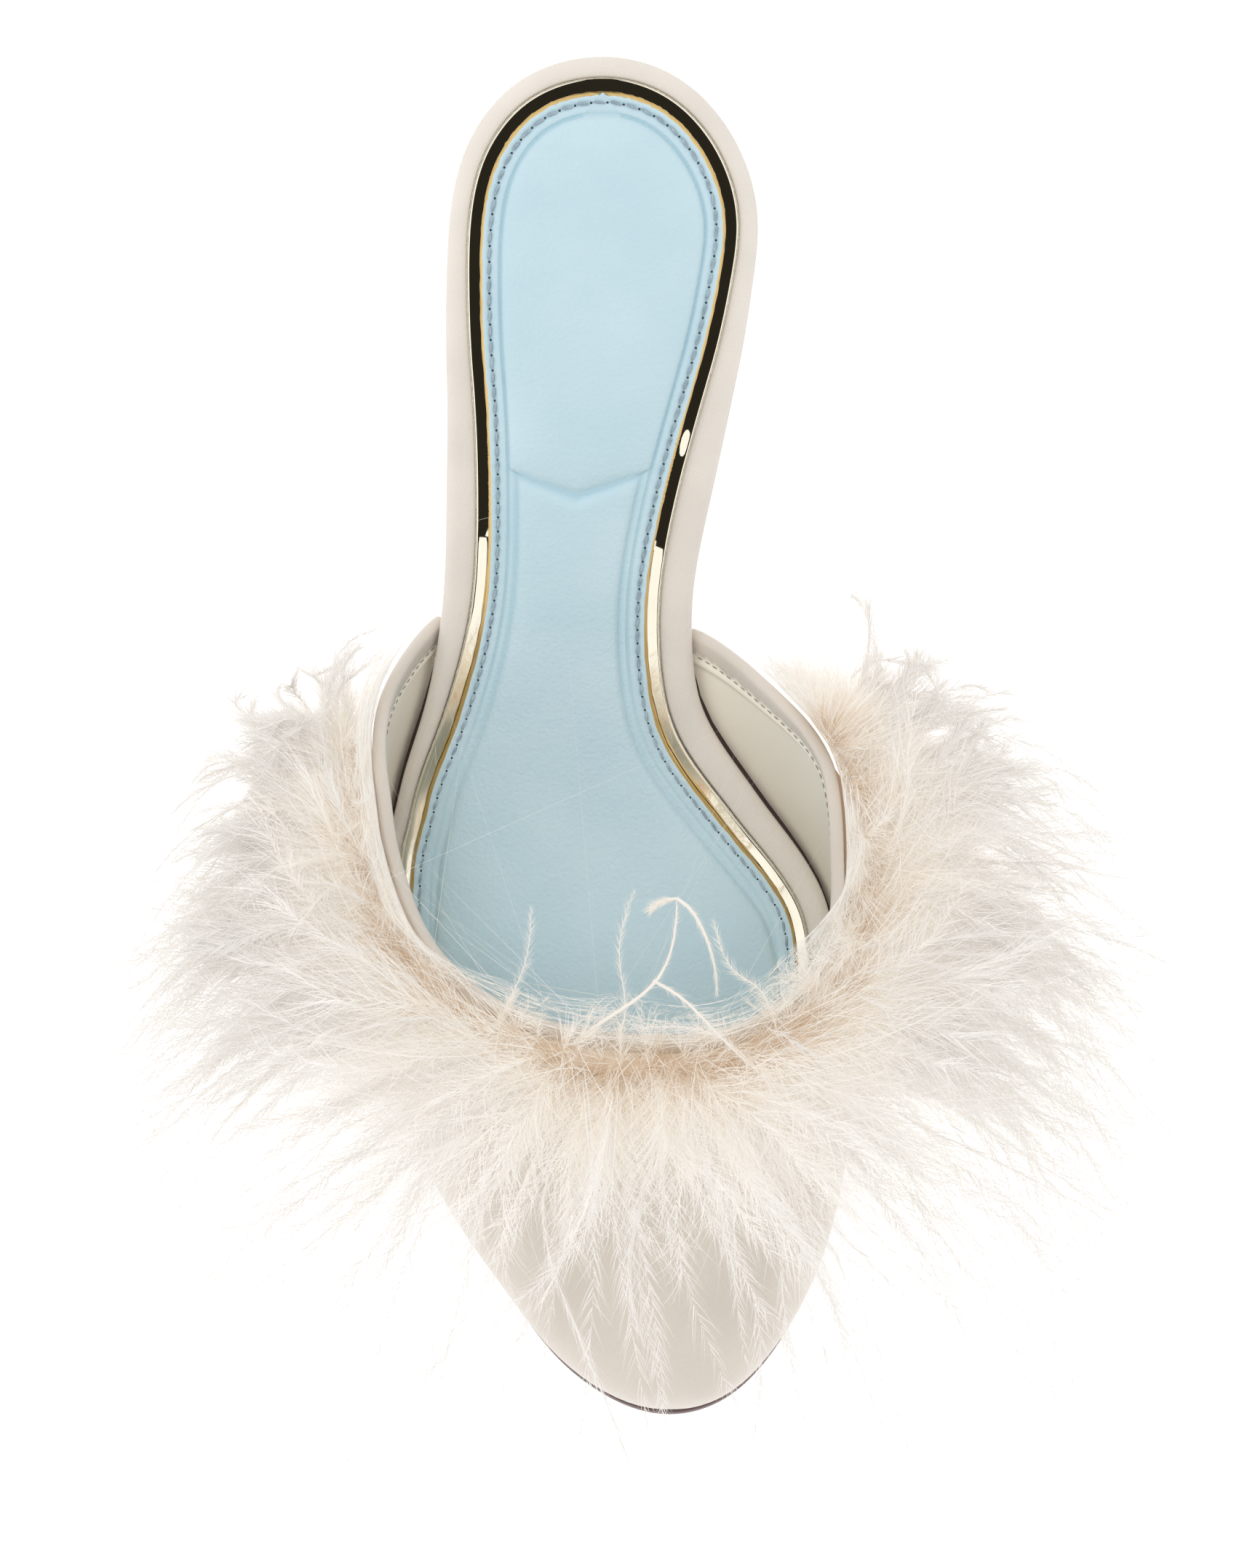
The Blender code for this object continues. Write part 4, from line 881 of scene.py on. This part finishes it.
def build_heel(satin, rubber):
    seat_points = seat_ring(HEEL_INSET, HEEL_STEPS)
    tip = tip_ring(seat_points, LIFT_HEIGHT + GAP)
    slim = curve_through(HEEL_SECTIONS[:, 0], HEEL_SECTIONS[:, 1])
    rings = []
    for down in np.linspace(0, 1, HEEL_STEPS) ** 1.3:
        ring = seat_points + (tip - seat_points) * float(np.clip(slim(down), 0, 1))
        ring[:, 2] = seat_points[:, 2] + (tip[:, 2] - seat_points[:, 2]) * down
        rings.append(ring)
    build_loft("heel_cover", rings, satin, "satin_heel", "heel")
    rings = []
    for height, shrink in ((LIFT_HEIGHT, 0.0), (LIFT_HEIGHT - 0.0004, 0.0), (0.0005, 0.0), (0.0, 0.03)):
        ring = tip_ring(seat_points, height)
        rings.append(ring + (with_breast(ring).mean(0) - ring) * [shrink, shrink, 0])
    build_loft("heel_tip", rings, rubber, "lift_rubber", "top_lift")


# Feathers


def strand_arrays(paths, widths, facing):
    """Ribbons along paths (n, k, 3) with widths (n, k), pointed at their ends."""
    n, k, _ = paths.shape
    way = unit(np.gradient(paths, axis=1))
    half = unit(np.cross(way, facing[:, None])) * widths[..., None] / 2
    left, right = paths - half, paths + half
    body = np.stack([left[:, :-1], right[:, :-1]], 2).reshape(n, -1, 3)
    points = np.concatenate([body, paths[:, -1:]], 1)
    base = np.arange(n)[:, None] * points.shape[1]
    quads = base[..., None] + 2 * np.arange(k - 2)[None, :, None] + [0, 1, 3, 2]
    return points.reshape(-1, 3), quads, base + 2 * (k - 2) + [0, 1, 2]


def strands_piece(name, paths, widths, grown, material, rng, taper=(1.6, 0.8), facing=(0, 0, 0), spread=1.0):
    """One piece of many ribbons that narrow, with how far along its feather each point lies."""
    count, steps, _ = paths.shape
    power, fall = taper
    narrow = 1 - np.linspace(0, 1, steps) ** power * fall
    widths = rng.uniform(*widths, (count, 1)) * narrow[None]
    facing = unit(rng.normal(0, spread, (count, 3)) + facing)
    points, quads, triangles = strand_arrays(paths, widths, facing)
    made = mesh_piece(name, points, quads, triangles, (material,), slot="marabou")
    grown = np.broadcast_to(grown, (count, steps))
    point_layer(made, "grown", np.concatenate([np.repeat(grown[:, :-1], 2, axis=1), grown[:, -1:]], 1))
    return made


class Vamp:
    """Heights of the upper's outside over the floor, on a grid of cells, for keeping feathers off it."""

    def __init__(self):
        part = np.linspace(0, 1, 240)
        end, quarter = topline(part)
        turns = np.linspace(0.01, 1, 160)[:, None] * end[None]
        points = last_point(turns, np.broadcast_to(quarter, turns.shape)).reshape(-1, 3)
        self.low, self.cell = points[:, :2].min(0) - 0.002, 0.0010
        size = np.ceil((points[:, :2].max(0) + 0.002 - self.low) / self.cell).astype(int) + 1
        self.height = np.full(size, -1.0)
        i, j = ((points[:, :2] - self.low) / self.cell).round().astype(int).T
        np.maximum.at(self.height, (i, j), points[:, 2])
        for _ in range(2):
            spread = self.height.copy()
            for axis in (0, 1):
                for step in (-1, 1):
                    spread = np.maximum(spread, np.roll(self.height, step, axis))
            self.height = np.where(self.height < 0, spread, self.height)

    def over(self, points, room):
        """Points lifted to stay over the upper."""
        cells = ((points[..., :2] - self.low) / self.cell).round().astype(int)
        i, j = cells[..., 0], cells[..., 1]
        ok = (i >= 0) & (j >= 0) & (i < self.height.shape[0]) & (j < self.height.shape[1])
        least = np.full(points.shape[:-1], -1.0)
        least[ok] = self.height[i[ok], j[ok]]
        points = points.copy()
        points[..., 2] = np.maximum(points[..., 2], np.where(least > 0, least + room, 0.0015))
        return points


def band_frames(part):
    """Topline points with the outward normal, the way down the upper and the way along it."""
    turn, quarter = topline(part)
    point, normal = upper_surface(turn, quarter)
    before, after = last_point(*topline(part - 0.004)), last_point(*topline(part + 0.004))
    run = unit(after - before)
    down = unit(np.cross(run, normal))
    towards = last_point(turn - 0.02, quarter) - point
    down = np.where(((down * towards).sum(-1) < 0)[..., None], -down, down)
    return point, normal, down, run


def even_parts(count, rng, first=BAND_START, last=BAND_END):
    """Places along the topline, evenly spread in length."""
    parts = np.linspace(first, last, 900)
    line = last_point(*topline(parts))
    run = run_of(line)
    wanted = (np.arange(count) + rng.uniform(0, 1, count)) / count * run[-1]
    return np.interp(wanted, run, parts)


def reach_at(degrees, column):
    """How far from the fan's centre the down or the wisps reach in a direction."""
    wrapped = np.concatenate([REACH[-1:] - [360, 0, 0], REACH, REACH[:1] + [360, 0, 0]])
    return np.interp((degrees + 180) % 360 - 180, wrapped[:, 0], wrapped[:, column])


def wing_share(part):
    """0 in front of the throat, 1 on the wings."""
    return smooth_step((np.abs(part - 0.5) - 0.16) / 0.12)


def front_turn(points):
    """Degrees round the fan's centre without a break on the way from one wing to the other."""
    turn = np.degrees(np.arctan2(points[..., 1] - FAN_CENTRE[1], points[..., 0] - FAN_CENTRE[0]))
    return np.where(turn > 93, turn - 360, turn)


def throat_table():
    line = last_point(*topline(np.linspace(0.02, 0.98, 400)))
    turn = front_turn(line)
    order = np.argsort(turn)
    return turn[order], np.linalg.norm(line[order, :2] - FAN_CENTRE[:2], axis=1)


THROAT_TURN, THROAT_RADIUS = throat_table()


def clear_throat(points, room):
    """Points pushed outwards, so that down leans in over the throat's front and leaves the wings bare."""
    turn = front_turn(points)
    wing = smooth_step((np.abs(turn - FRONT_TURN) - FRONT_HALF) / FRONT_FADE)
    lean = THROAT_LEAN * np.sqrt(room / WING_ROOM)
    least = np.interp(turn, THROAT_TURN, THROAT_RADIUS) + wing * (WING_CLEAR + room) - (1 - wing) * lean
    flat = points[..., :2] - FAN_CENTRE[:2]
    radius = np.maximum(np.linalg.norm(flat, axis=-1), 1e-6)
    points = points.copy()
    points[..., :2] = FAN_CENTRE[:2] + flat * (np.maximum(radius, least) / radius)[..., None]
    return points


def wing_room(rng, count):
    """Random distances that strands keep from the wings, most of them small."""
    return WING_ROOM * rng.uniform(0, 1, (count, 1)) ** 2


def curve_paths(start, middle, tip, steps):
    """Quadratic curves (n, steps, 3)."""
    t = np.linspace(0, 1, steps)[None, :, None]
    return start[:, None] * (1 - t) ** 2 + 2 * middle[:, None] * t * (1 - t) + tip[:, None] * t**2


def at_share(paths, t):
    """Points and tangents at shares t (n, m) of paths (n, k, 3)."""
    last = paths.shape[1] - 1
    low = np.minimum(np.floor(t * last).astype(int), last - 1)
    mix = (t * last - low)[..., None]
    rows = np.arange(len(paths))[:, None]
    a, b = paths[rows, low], paths[rows, low + 1]
    return a * (1 - mix) + b * mix, unit(b - a)


def fan_out(part, lift, share, column, spread, rng, rooted=(0.001, 0.009)):
    """Curved stems from the topline to a share of the reach in their own direction."""
    n = len(part)
    point, normal, down, _ = band_frames(part)
    lower = rng.uniform(*rooted, (n, 1)) + WING_DROP * wing_share(part)[:, None]
    start = point + down * lower + normal * rng.uniform(0.0005, 0.0040, (n, 1))
    ends = smooth_step((0.27 - part) / 0.12) - smooth_step((part - 0.76) / 0.12)
    turn = front_turn(point) - WING_SWEEP * ends * rng.uniform(0, 1, n) + spread * rng.normal(0, 1, n)
    rearest = REAREST[0] + END_ROOM * rng.uniform(0, 1, n)
    turn = np.clip(turn, rearest, REAREST[1] - END_ROOM * rng.uniform(0, 1, n))
    near = np.linalg.norm(point[:, :2] - FAN_CENTRE[:2], axis=1)
    far = reach_at(turn, column) * 0.001
    short = np.sqrt(1 - LIFT_SHORT * np.clip(lift, -1, 1) ** 2)
    flat = near + np.maximum(far - near, 0.010) * share * short
    away = np.radians(turn)
    tip = np.stack([flat * np.cos(away), flat * np.sin(away), start[:, 2]], -1) + FAN_CENTRE
    length = np.linalg.norm(tip - start, axis=1)
    tip[:, 2] += lift * length * LIFT_RISE
    straight = unit(tip - start)
    rise = unit(normal * 0.6 + straight * 0.5 + [0, 0, 0.45])
    middle = start + rise * (length * rng.uniform(0.3, 0.6, n))[:, None]
    side = np.cross(straight, [0.0, 0.0, 1.0]) * (length * rng.normal(0, 0.16, n))[:, None]
    return start, middle + side, tip


def plume_barbs(quills, barbs, size, spread, curl, noise, steps, rng):
    """Barbs on both sides of each quill, which bend together as those of one feather do."""
    n = len(quills)
    t = np.clip(rng.beta(1.15, 1.35, (n, barbs)), 0, 0.999)
    base, tangent = at_share(quills, t)
    flat = unit(np.cross(quills[:, -1] - quills[:, 0], rng.normal(0, 1, (n, 3))))
    side = np.where(rng.random((n, barbs)) < 0.5, -1.0, 1.0)[..., None]
    angle = np.radians(rng.uniform(*spread, (n, barbs)))[..., None] * (1.1 - 0.4 * t[..., None])
    out = tangent * np.cos(angle) + side * flat[:, None] * np.sin(angle) + rng.normal(0, noise, tangent.shape)
    reach = (rng.uniform(*size, (n, 1)) * rng.uniform(0.55, 1.1, (n, barbs)) * (1.15 - 0.55 * t)).ravel()
    bend = unit(rng.normal(0, 1, (n, 3)) + [0, 0, -0.5])[:, None] * curl + rng.normal(0, 0.10, tangent.shape)
    share = np.linspace(0, 1, steps)[None, :, None]
    path = unit(out).reshape(-1, 1, 3) * share + bend.reshape(-1, 1, 3) * share**2
    return base.reshape(-1, 1, 3) + path * reach[:, None, None], t.ravel(), reach


def build_down(vamp, material, pieces, plumes, barbs, steps, seed):
    """Marabou down: short curved plumes with long soft barbs, thick round the topline."""
    rng = np.random.default_rng(seed)
    total = plumes * pieces
    part = even_parts(total, rng)
    rng.shuffle(part)
    lift = np.clip(rng.normal(0.0, 0.42, total), -1.0, 0.95)
    share = 0.22 + 0.80 * np.sqrt(rng.uniform(0, 1, total))
    start, middle, tip = fan_out(part, lift, share, 1, 8.0, rng)
    quills = vamp.over(curve_paths(start, middle, tip, 9), 0.0008)
    for p in range(pieces):
        own = np.arange(p * plumes, (p + 1) * plumes)
        paths, t, reach = plume_barbs(quills[own], barbs, DOWN_BARB, (14, 55), 0.34, 0.13, steps, rng)
        paths = clear_throat(paths, wing_room(rng, len(paths)))
        paths = vamp.over(paths, rng.uniform(0.0003, 0.0035, (len(paths), 1)))
        length = np.linalg.norm(quills[own, -1] - quills[own, 0], axis=1).repeat(barbs)
        grown = (t * length)[:, None] + np.linspace(0, 1, steps)[None] * reach[:, None]
        grown = np.clip(grown / COLOURED_LENGTH, 0, 1)
        made = strands_piece(f"marabou_down_{p + 1}", paths, DOWN_WIDTH, grown, material, rng)
        if p == 0:
            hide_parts("marabou_trim")


def build_throat(vamp, material, count, barbs, seed):
    """Short plumes that stand up round the throat and lean in over its edge."""
    rng = np.random.default_rng(seed)
    part = rng.uniform(0.25, 0.76, count)
    point, normal, down, _ = band_frames(part)
    start = point + down * rng.uniform(0.0, 0.005, (count, 1))
    start += normal * rng.uniform(0.001, 0.003, (count, 1))
    inward = unit((FAN_CENTRE + [0, 0.010, 0] - point) * [1, 1, 0])
    lean = rng.uniform(0.1, 1.6, count)[:, None] * smooth_step(1.15 - np.abs(part - 0.5) / 0.27)[:, None]
    way = unit(inward * lean + [0, 0, 0.45] + rng.normal(0, 0.22, (count, 3)))
    length = rng.uniform(0.007, 0.013, (count, 1))
    tip = start + way * length + inward * np.maximum(lean, 0) * 0.004 + [0, 0, -0.002]
    quills = curve_paths(start, start + (normal * 0.3 + [0, 0, 0.7]) * length * 0.6, tip, 7)
    paths, t, _ = plume_barbs(quills, barbs, THROAT_BARB, (15, 60), 0.35, 0.16, 4, rng)
    paths = vamp.over(clear_throat(paths, wing_room(rng, len(paths))), 0.0006)
    grown = np.clip(t[:, None] * 0.35 + np.linspace(0, 0.6, 4)[None] + 0.15, 0, 1)
    strands_piece("throat_down", paths, THROAT_WIDTH, grown, material, rng)


def build_tangle(vamp, material, count, seed):
    """The short tangled barbs at the feathers' roots."""
    rng = np.random.default_rng(seed)
    part = even_parts(count, rng, BAND_START + 0.005, BAND_END - 0.005)
    point, normal, down, run = band_frames(part)
    lower = rng.uniform(0.0015, 0.0060, (count, 1)) + WING_DROP * wing_share(part)[:, None]
    start = point + down * lower + normal * rng.uniform(0.0004, 0.0030, (count, 1))
    way = unit(normal * 0.8 + down * rng.normal(0.1, 0.6, (count, 1)) + run * rng.normal(0, 0.8, (count, 1)))
    length = rng.uniform(*TANGLE_LENGTH, (count, 1))
    tip = start + way * length + rng.normal(0, 0.0008, way.shape)
    middle = start + way * length * 0.5 + rng.normal(0, 0.0016, way.shape)
    paths = clear_throat(curve_paths(start, middle, tip, 5), wing_room(rng, count))
    grown = np.linspace(0.0, 0.16, 5)[None] * rng.uniform(0.2, 1.6, (count, 1))
    strands_piece("root_tangle", vamp.over(paths, 0.0003), TANGLE_WIDTH, grown, material, rng, (2, 0.7))


def build_threads(vamp, material, count, seed):
    """Loose single barbs, long and curved, that stray over the down."""
    rng = np.random.default_rng(seed)
    part = even_parts(count, rng, BAND_START, BAND_END)
    lift = np.clip(rng.normal(0.25, 0.45, count), -0.8, 1.2)
    start, middle, tip = fan_out(part, lift, rng.uniform(0.35, 1.15, count), 1, 22.0, rng)
    paths = curve_paths(start, middle + rng.normal(0, 0.006, middle.shape), tip, 10)
    paths = clear_throat(paths, wing_room(rng, count))
    paths = vamp.over(paths, rng.uniform(0.001, 0.006, (count, 1)))
    strands_piece("loose_threads", paths, THREAD_WIDTH, np.linspace(0.35, 1.0, 10), material, rng, (2, 0.75))


def barbule_paths(stems, barbules, size, slant, first, rng):
    """Short barbules that slant forward all along fine stems."""
    n = len(stems)
    t = (first + (1 - first) * (np.arange(barbules) + rng.uniform(0, 1, (n, barbules))) / barbules) * 0.999
    base, tangent = at_share(stems, t)
    flat = unit(np.cross(stems[:, -1] - stems[:, 0], rng.normal(0, 1, (n, 3)) * [0.4, 0.4, 1.0]))
    side = np.where(rng.random((n, barbules)) < 0.5, -1.0, 1.0)[..., None]
    out = 0.85 * tangent + side * flat[:, None] * rng.uniform(*slant, (n, barbules, 1))
    out = unit(out + rng.normal(0, 0.10, out.shape)).reshape(-1, 1, 3)
    edge_fade = np.minimum(1.0, 0.35 + 5.0 * (t - first)) * (1 - 0.55 * smooth_step((t - 0.80) / 0.20))
    length = (rng.uniform(*size, (n, barbules)) * edge_fade).ravel()
    share = np.linspace(0, 1, 3)[None, :, None]
    bend = (tangent * 0.35 + rng.normal(0, 0.10, tangent.shape)).reshape(-1, 1, 3)
    return base.reshape(-1, 1, 3) + (out * share + bend * share**2) * length[:, None, None], t


def build_wisps(vamp, material, barbules, seed):
    """Long feathers that stray beyond the down, each a fine stem fringed with barbules."""
    rng = np.random.default_rng(seed)
    drawn = []
    for first, last, count, low, high, low_lift, high_lift in WISPS:
        spans = ((first, last), (low, high), (low_lift, high_lift))
        drawn.append([rng.uniform(*span, count) for span in spans])
    part, share, lift = np.concatenate(drawn, axis=1)
    start, middle, tip = fan_out(part, lift, share, 2, 9.0, rng, (0.002, 0.010))
    sweep = WISP_SWEEP * share * np.abs(tip[:, 0] - FAN_CENTRE[0]) / 0.080
    tip[:, 1] -= sweep
    middle[:, 1] += 0.5 * sweep
    stems = curve_paths(start, middle, tip, 15)
    sway = rng.normal(0, 0.0022, (len(stems), 1, 3)) * np.sin(np.linspace(0, 5.0, 15))[None, :, None]
    stems = clear_throat(stems + sway, wing_room(rng, len(stems)))
    stems = vamp.over(stems, 0.0022)
    for p, own in enumerate((np.arange(0, len(stems), 2), np.arange(1, len(stems), 2))):
        paths, t = barbule_paths(stems[own], barbules, WISP_BARBULE, (0.25, 0.55), 0.28, rng)
        grown = np.clip(0.45 + 0.55 * t.ravel(), 0, 1)[:, None]
        strands_piece(f"wisp_barbules_{p + 1}", paths, WISP_WIDTH, grown, material, rng, (1, 0.7))
    strands_piece("wisp_stems", stems, STEM_WIDTH, np.linspace(0.4, 1, 15), material, rng, (1, 0.7),
                  (0.3, 1.0, 0.2), 0.3)


def build_bare_quills(material):
    """A few pale quills that stand up out of the throat's down and curl over the sock."""
    paths, radii = [], []
    for knots, thick in BARE_QUILLS:
        knots = np.array(knots) * 0.001
        marks, along = np.linspace(0, 1, len(knots)), np.linspace(0, 1, 25)
        paths.append(np.stack([curve_through(marks, knots[:, k])(along) for k in range(3)], -1))
        radii.append(thick / 2000 * (1 - 0.75 * along**1.5))
        radii[-1][-1] *= 0.3
    made = tubes_piece("bare_quills", paths, radii, 7, material, "marabou", (0.3, 0.2, 1.0))
    point_layer(made, "grown", np.ones(len(made.data.vertices)))
    rng = np.random.default_rng(SEED + 9)
    fringe, _ = barbule_paths(np.stack(paths), 260, FRINGE_LENGTH, (0.45, 0.85), 0.0, rng)
    strands_piece("quill_fringe", fringe, FRINGE_WIDTH, 1.0, material, rng, (1, 0.7))


def build_core(material):
    """The cord that the feathers are tied to, hidden under them."""
    steps = 120
    parts = np.linspace(BAND_START + 0.03, BAND_END - 0.035, steps)
    point, normal, down, _ = band_frames(parts)
    path = point + down * (0.0038 + WING_DROP * wing_share(parts))[:, None] + normal * 0.0016
    from_end = np.minimum(np.arange(steps), np.arange(steps)[::-1])
    radius = 0.0020 * smooth_step(from_end / 20.0) + 0.0002
    made = tubes_piece("marabou_cord", [path], [radius], 12, material, "marabou")
    point_layer(made, "grown", np.zeros(len(made.data.vertices)))


# Stage


def build_stage():
    world = bpy.data.worlds.new("studio")
    bpy.context.scene.world = world
    world.use_nodes = True
    sky = Tree(world.node_tree)
    split = sky.node("SeparateXYZ", {0: sky.node("TexCoord").outputs["Generated"]}).outputs
    above = sky.math("GREATER_THAN", split[2], DARK_ABOVE)
    beside = sky.math("LESS_THAN", sky.math("ABSOLUTE", split[0], 0.0), DARK_HALF_WIDTH)
    shiny = sky.node("LightPath").outputs["Is Glossy Ray"]
    dark = sky.math("MULTIPLY", sky.math("MULTIPLY", above, beside), shiny)
    tone = sky.node("Mix", {0: dark, 6: (1, 1, 1, 1), 7: (0.020, 0.018, 0.014, 1)}, data_type="RGBA")
    strength = sky.math("ADD", sky.math("MULTIPLY", shiny, SHINY_LIGHT - SOFT_LIGHT), SOFT_LIGHT)
    background = sky.nodes["Background"].inputs
    sky.links.new(tone.outputs[2], background["Color"])
    sky.links.new(strength, background["Strength"])

    lamp = bpy.data.lights.new("overhead", "AREA")
    lamp.shape, lamp.size, lamp.size_y, lamp.energy = "RECTANGLE", 0.7, 0.7, 3.2
    overhead = bpy.data.objects.new("overhead", lamp)
    overhead.location = (-0.25, 0.35, 1.05)
    overhead.rotation_euler = (math.radians(-12), math.radians(-13), 0)
    overhead.visible_glossy = False
    overhead.visible_camera = False
    bpy.context.scene.collection.objects.link(overhead)

    paint = Paint("pale_floor", Roughness=0.9, Emission_Color=(1, 1, 1, 1), Emission_Strength=0.55)
    tones = ((0.3, (0.90, 0.90, 0.90)), (0.7, (0.92, 0.92, 0.92)))
    paint.link(paint.ramp(paint.noise(3.0, 2.0), tones), "Base Color")
    size = 4.0
    corners = [(-size, -size, 0), (size, -size, 0), (size, size, 0), (-size, size, 0)]
    mesh = bpy.data.meshes.new("floor")
    mesh.from_pydata(corners, [], [(0, 1, 2, 3)])
    mesh.materials.append(paint.material)
    floor = bpy.data.objects.new("floor", mesh)
    bpy.context.scene.collection.objects.link(floor)

    camera = bpy.data.cameras.new("camera")
    camera.sensor_fit, camera.sensor_height = "VERTICAL", SENSOR
    camera.lens = SENSOR * PHOTO_SCALE / PHOTO_HEIGHT
    camera.clip_start, camera.clip_end = 0.05, 20.0
    seen = bpy.data.objects.new("camera", camera)
    seen.location = CAMERA_PLACE
    bpy.context.scene.collection.objects.link(seen)
    bpy.context.scene.camera = seen
    bpy.context.scene.view_settings.view_transform = "Standard"


def main():
    satin = satin_material("satin", (0.795, 0.735, 0.665))
    vamp_satin = satin_material("vamp_satin", (0.715, 0.650, 0.575), 0.9, "cloth")
    lining = lining_material()
    leather = leather_material()
    mirror = gold_material("gold_mirror", (0.95, 0.89, 0.74), 0.03, 0.000003)
    cut_gold = gold_material("cut_gold", (0.72, 0.52, 0.22), 0.42, 0.00012)
    cut_satin = plain_material("cut_satin", (0.62, 0.56, 0.44), (0.90, 0.86, 0.76), 0.4, 1600.0, 0.00005)
    thread = plain_material("thread", (0.24, 0.31, 0.36), (0.46, 0.54, 0.59), 0.55, 900.0, 0.00004)
    # Near-black painted shade for the needle holes
    hole_shade = plain_material("painted_hole_shade", (0.015, 0.025, 0.035), (0.03, 0.045, 0.06), 0.8, 900.0, 0.00002)
    brown = plain_material("outsole_leather", (0.115, 0.070, 0.065), (0.16, 0.10, 0.09), 0.5, 240.0, 0.00006)
    rubber = plain_material("lift_rubber", (0.15, 0.11, 0.09), (0.20, 0.15, 0.12), 0.6, 300.0, 0.00004)
    seam = plain_material("seam_thread", (0.20, 0.17, 0.13), (0.30, 0.26, 0.20), 0.7, 900.0, 0.00002)
    down = feather_material("marabou_down", (0.72, 0.59, 0.45), (0.880, 0.843, 0.788), (0.872, 0.850, 0.822))
    wisp_tints = ((0.86, 0.835, 0.80), (0.85, 0.826, 0.795), (0.83, 0.807, 0.78))
    wisp = feather_material("marabou_wisp", *wisp_tints, WISP_GLOW)
    quill = feather_material("bare_quill", (0.86, 0.81, 0.74), (0.87, 0.83, 0.77), (0.88, 0.84, 0.79))

    build_stage()
    turns = np.linspace(0, 1, SLAB_STEPS)
    slab_piece("footbed_wrap", turns, footbed_profile, satin, "satin_footbed", "footbed")
    slab_piece("rand_mirror", turns, rand_profile, mirror, "gold_mirror", "gold_rand")
    shank = np.linspace(0, half_turn(1 - (BREAST_FROM_HEEL + 2 * GAP) / FOOTBED_LENGTH), OUTSOLE_STEPS)
    slab_piece("outsole_leather", shank, outsole_profile, brown, "outsole_leather", "outsole")
    build_strip_line(cut_satin)
    build_sock(leather, cut_gold)
    build_stitches(thread, hole_shade)
    build_upper(vamp_satin, lining, seam)
    build_heel(satin, rubber)

    vamp = Vamp()
    build_core(down)
    build_down(vamp, down, pieces=3, plumes=118, barbs=142, steps=4, seed=SEED)
    build_throat(vamp, down, count=140, barbs=72, seed=SEED + 1)
    build_tangle(vamp, down, count=4800, seed=SEED + 6)
    build_threads(vamp, down, count=700, seed=SEED + 2)
    build_wisps(vamp, wisp, barbules=150, seed=SEED + 5)
    build_bare_quills(quill)


main()
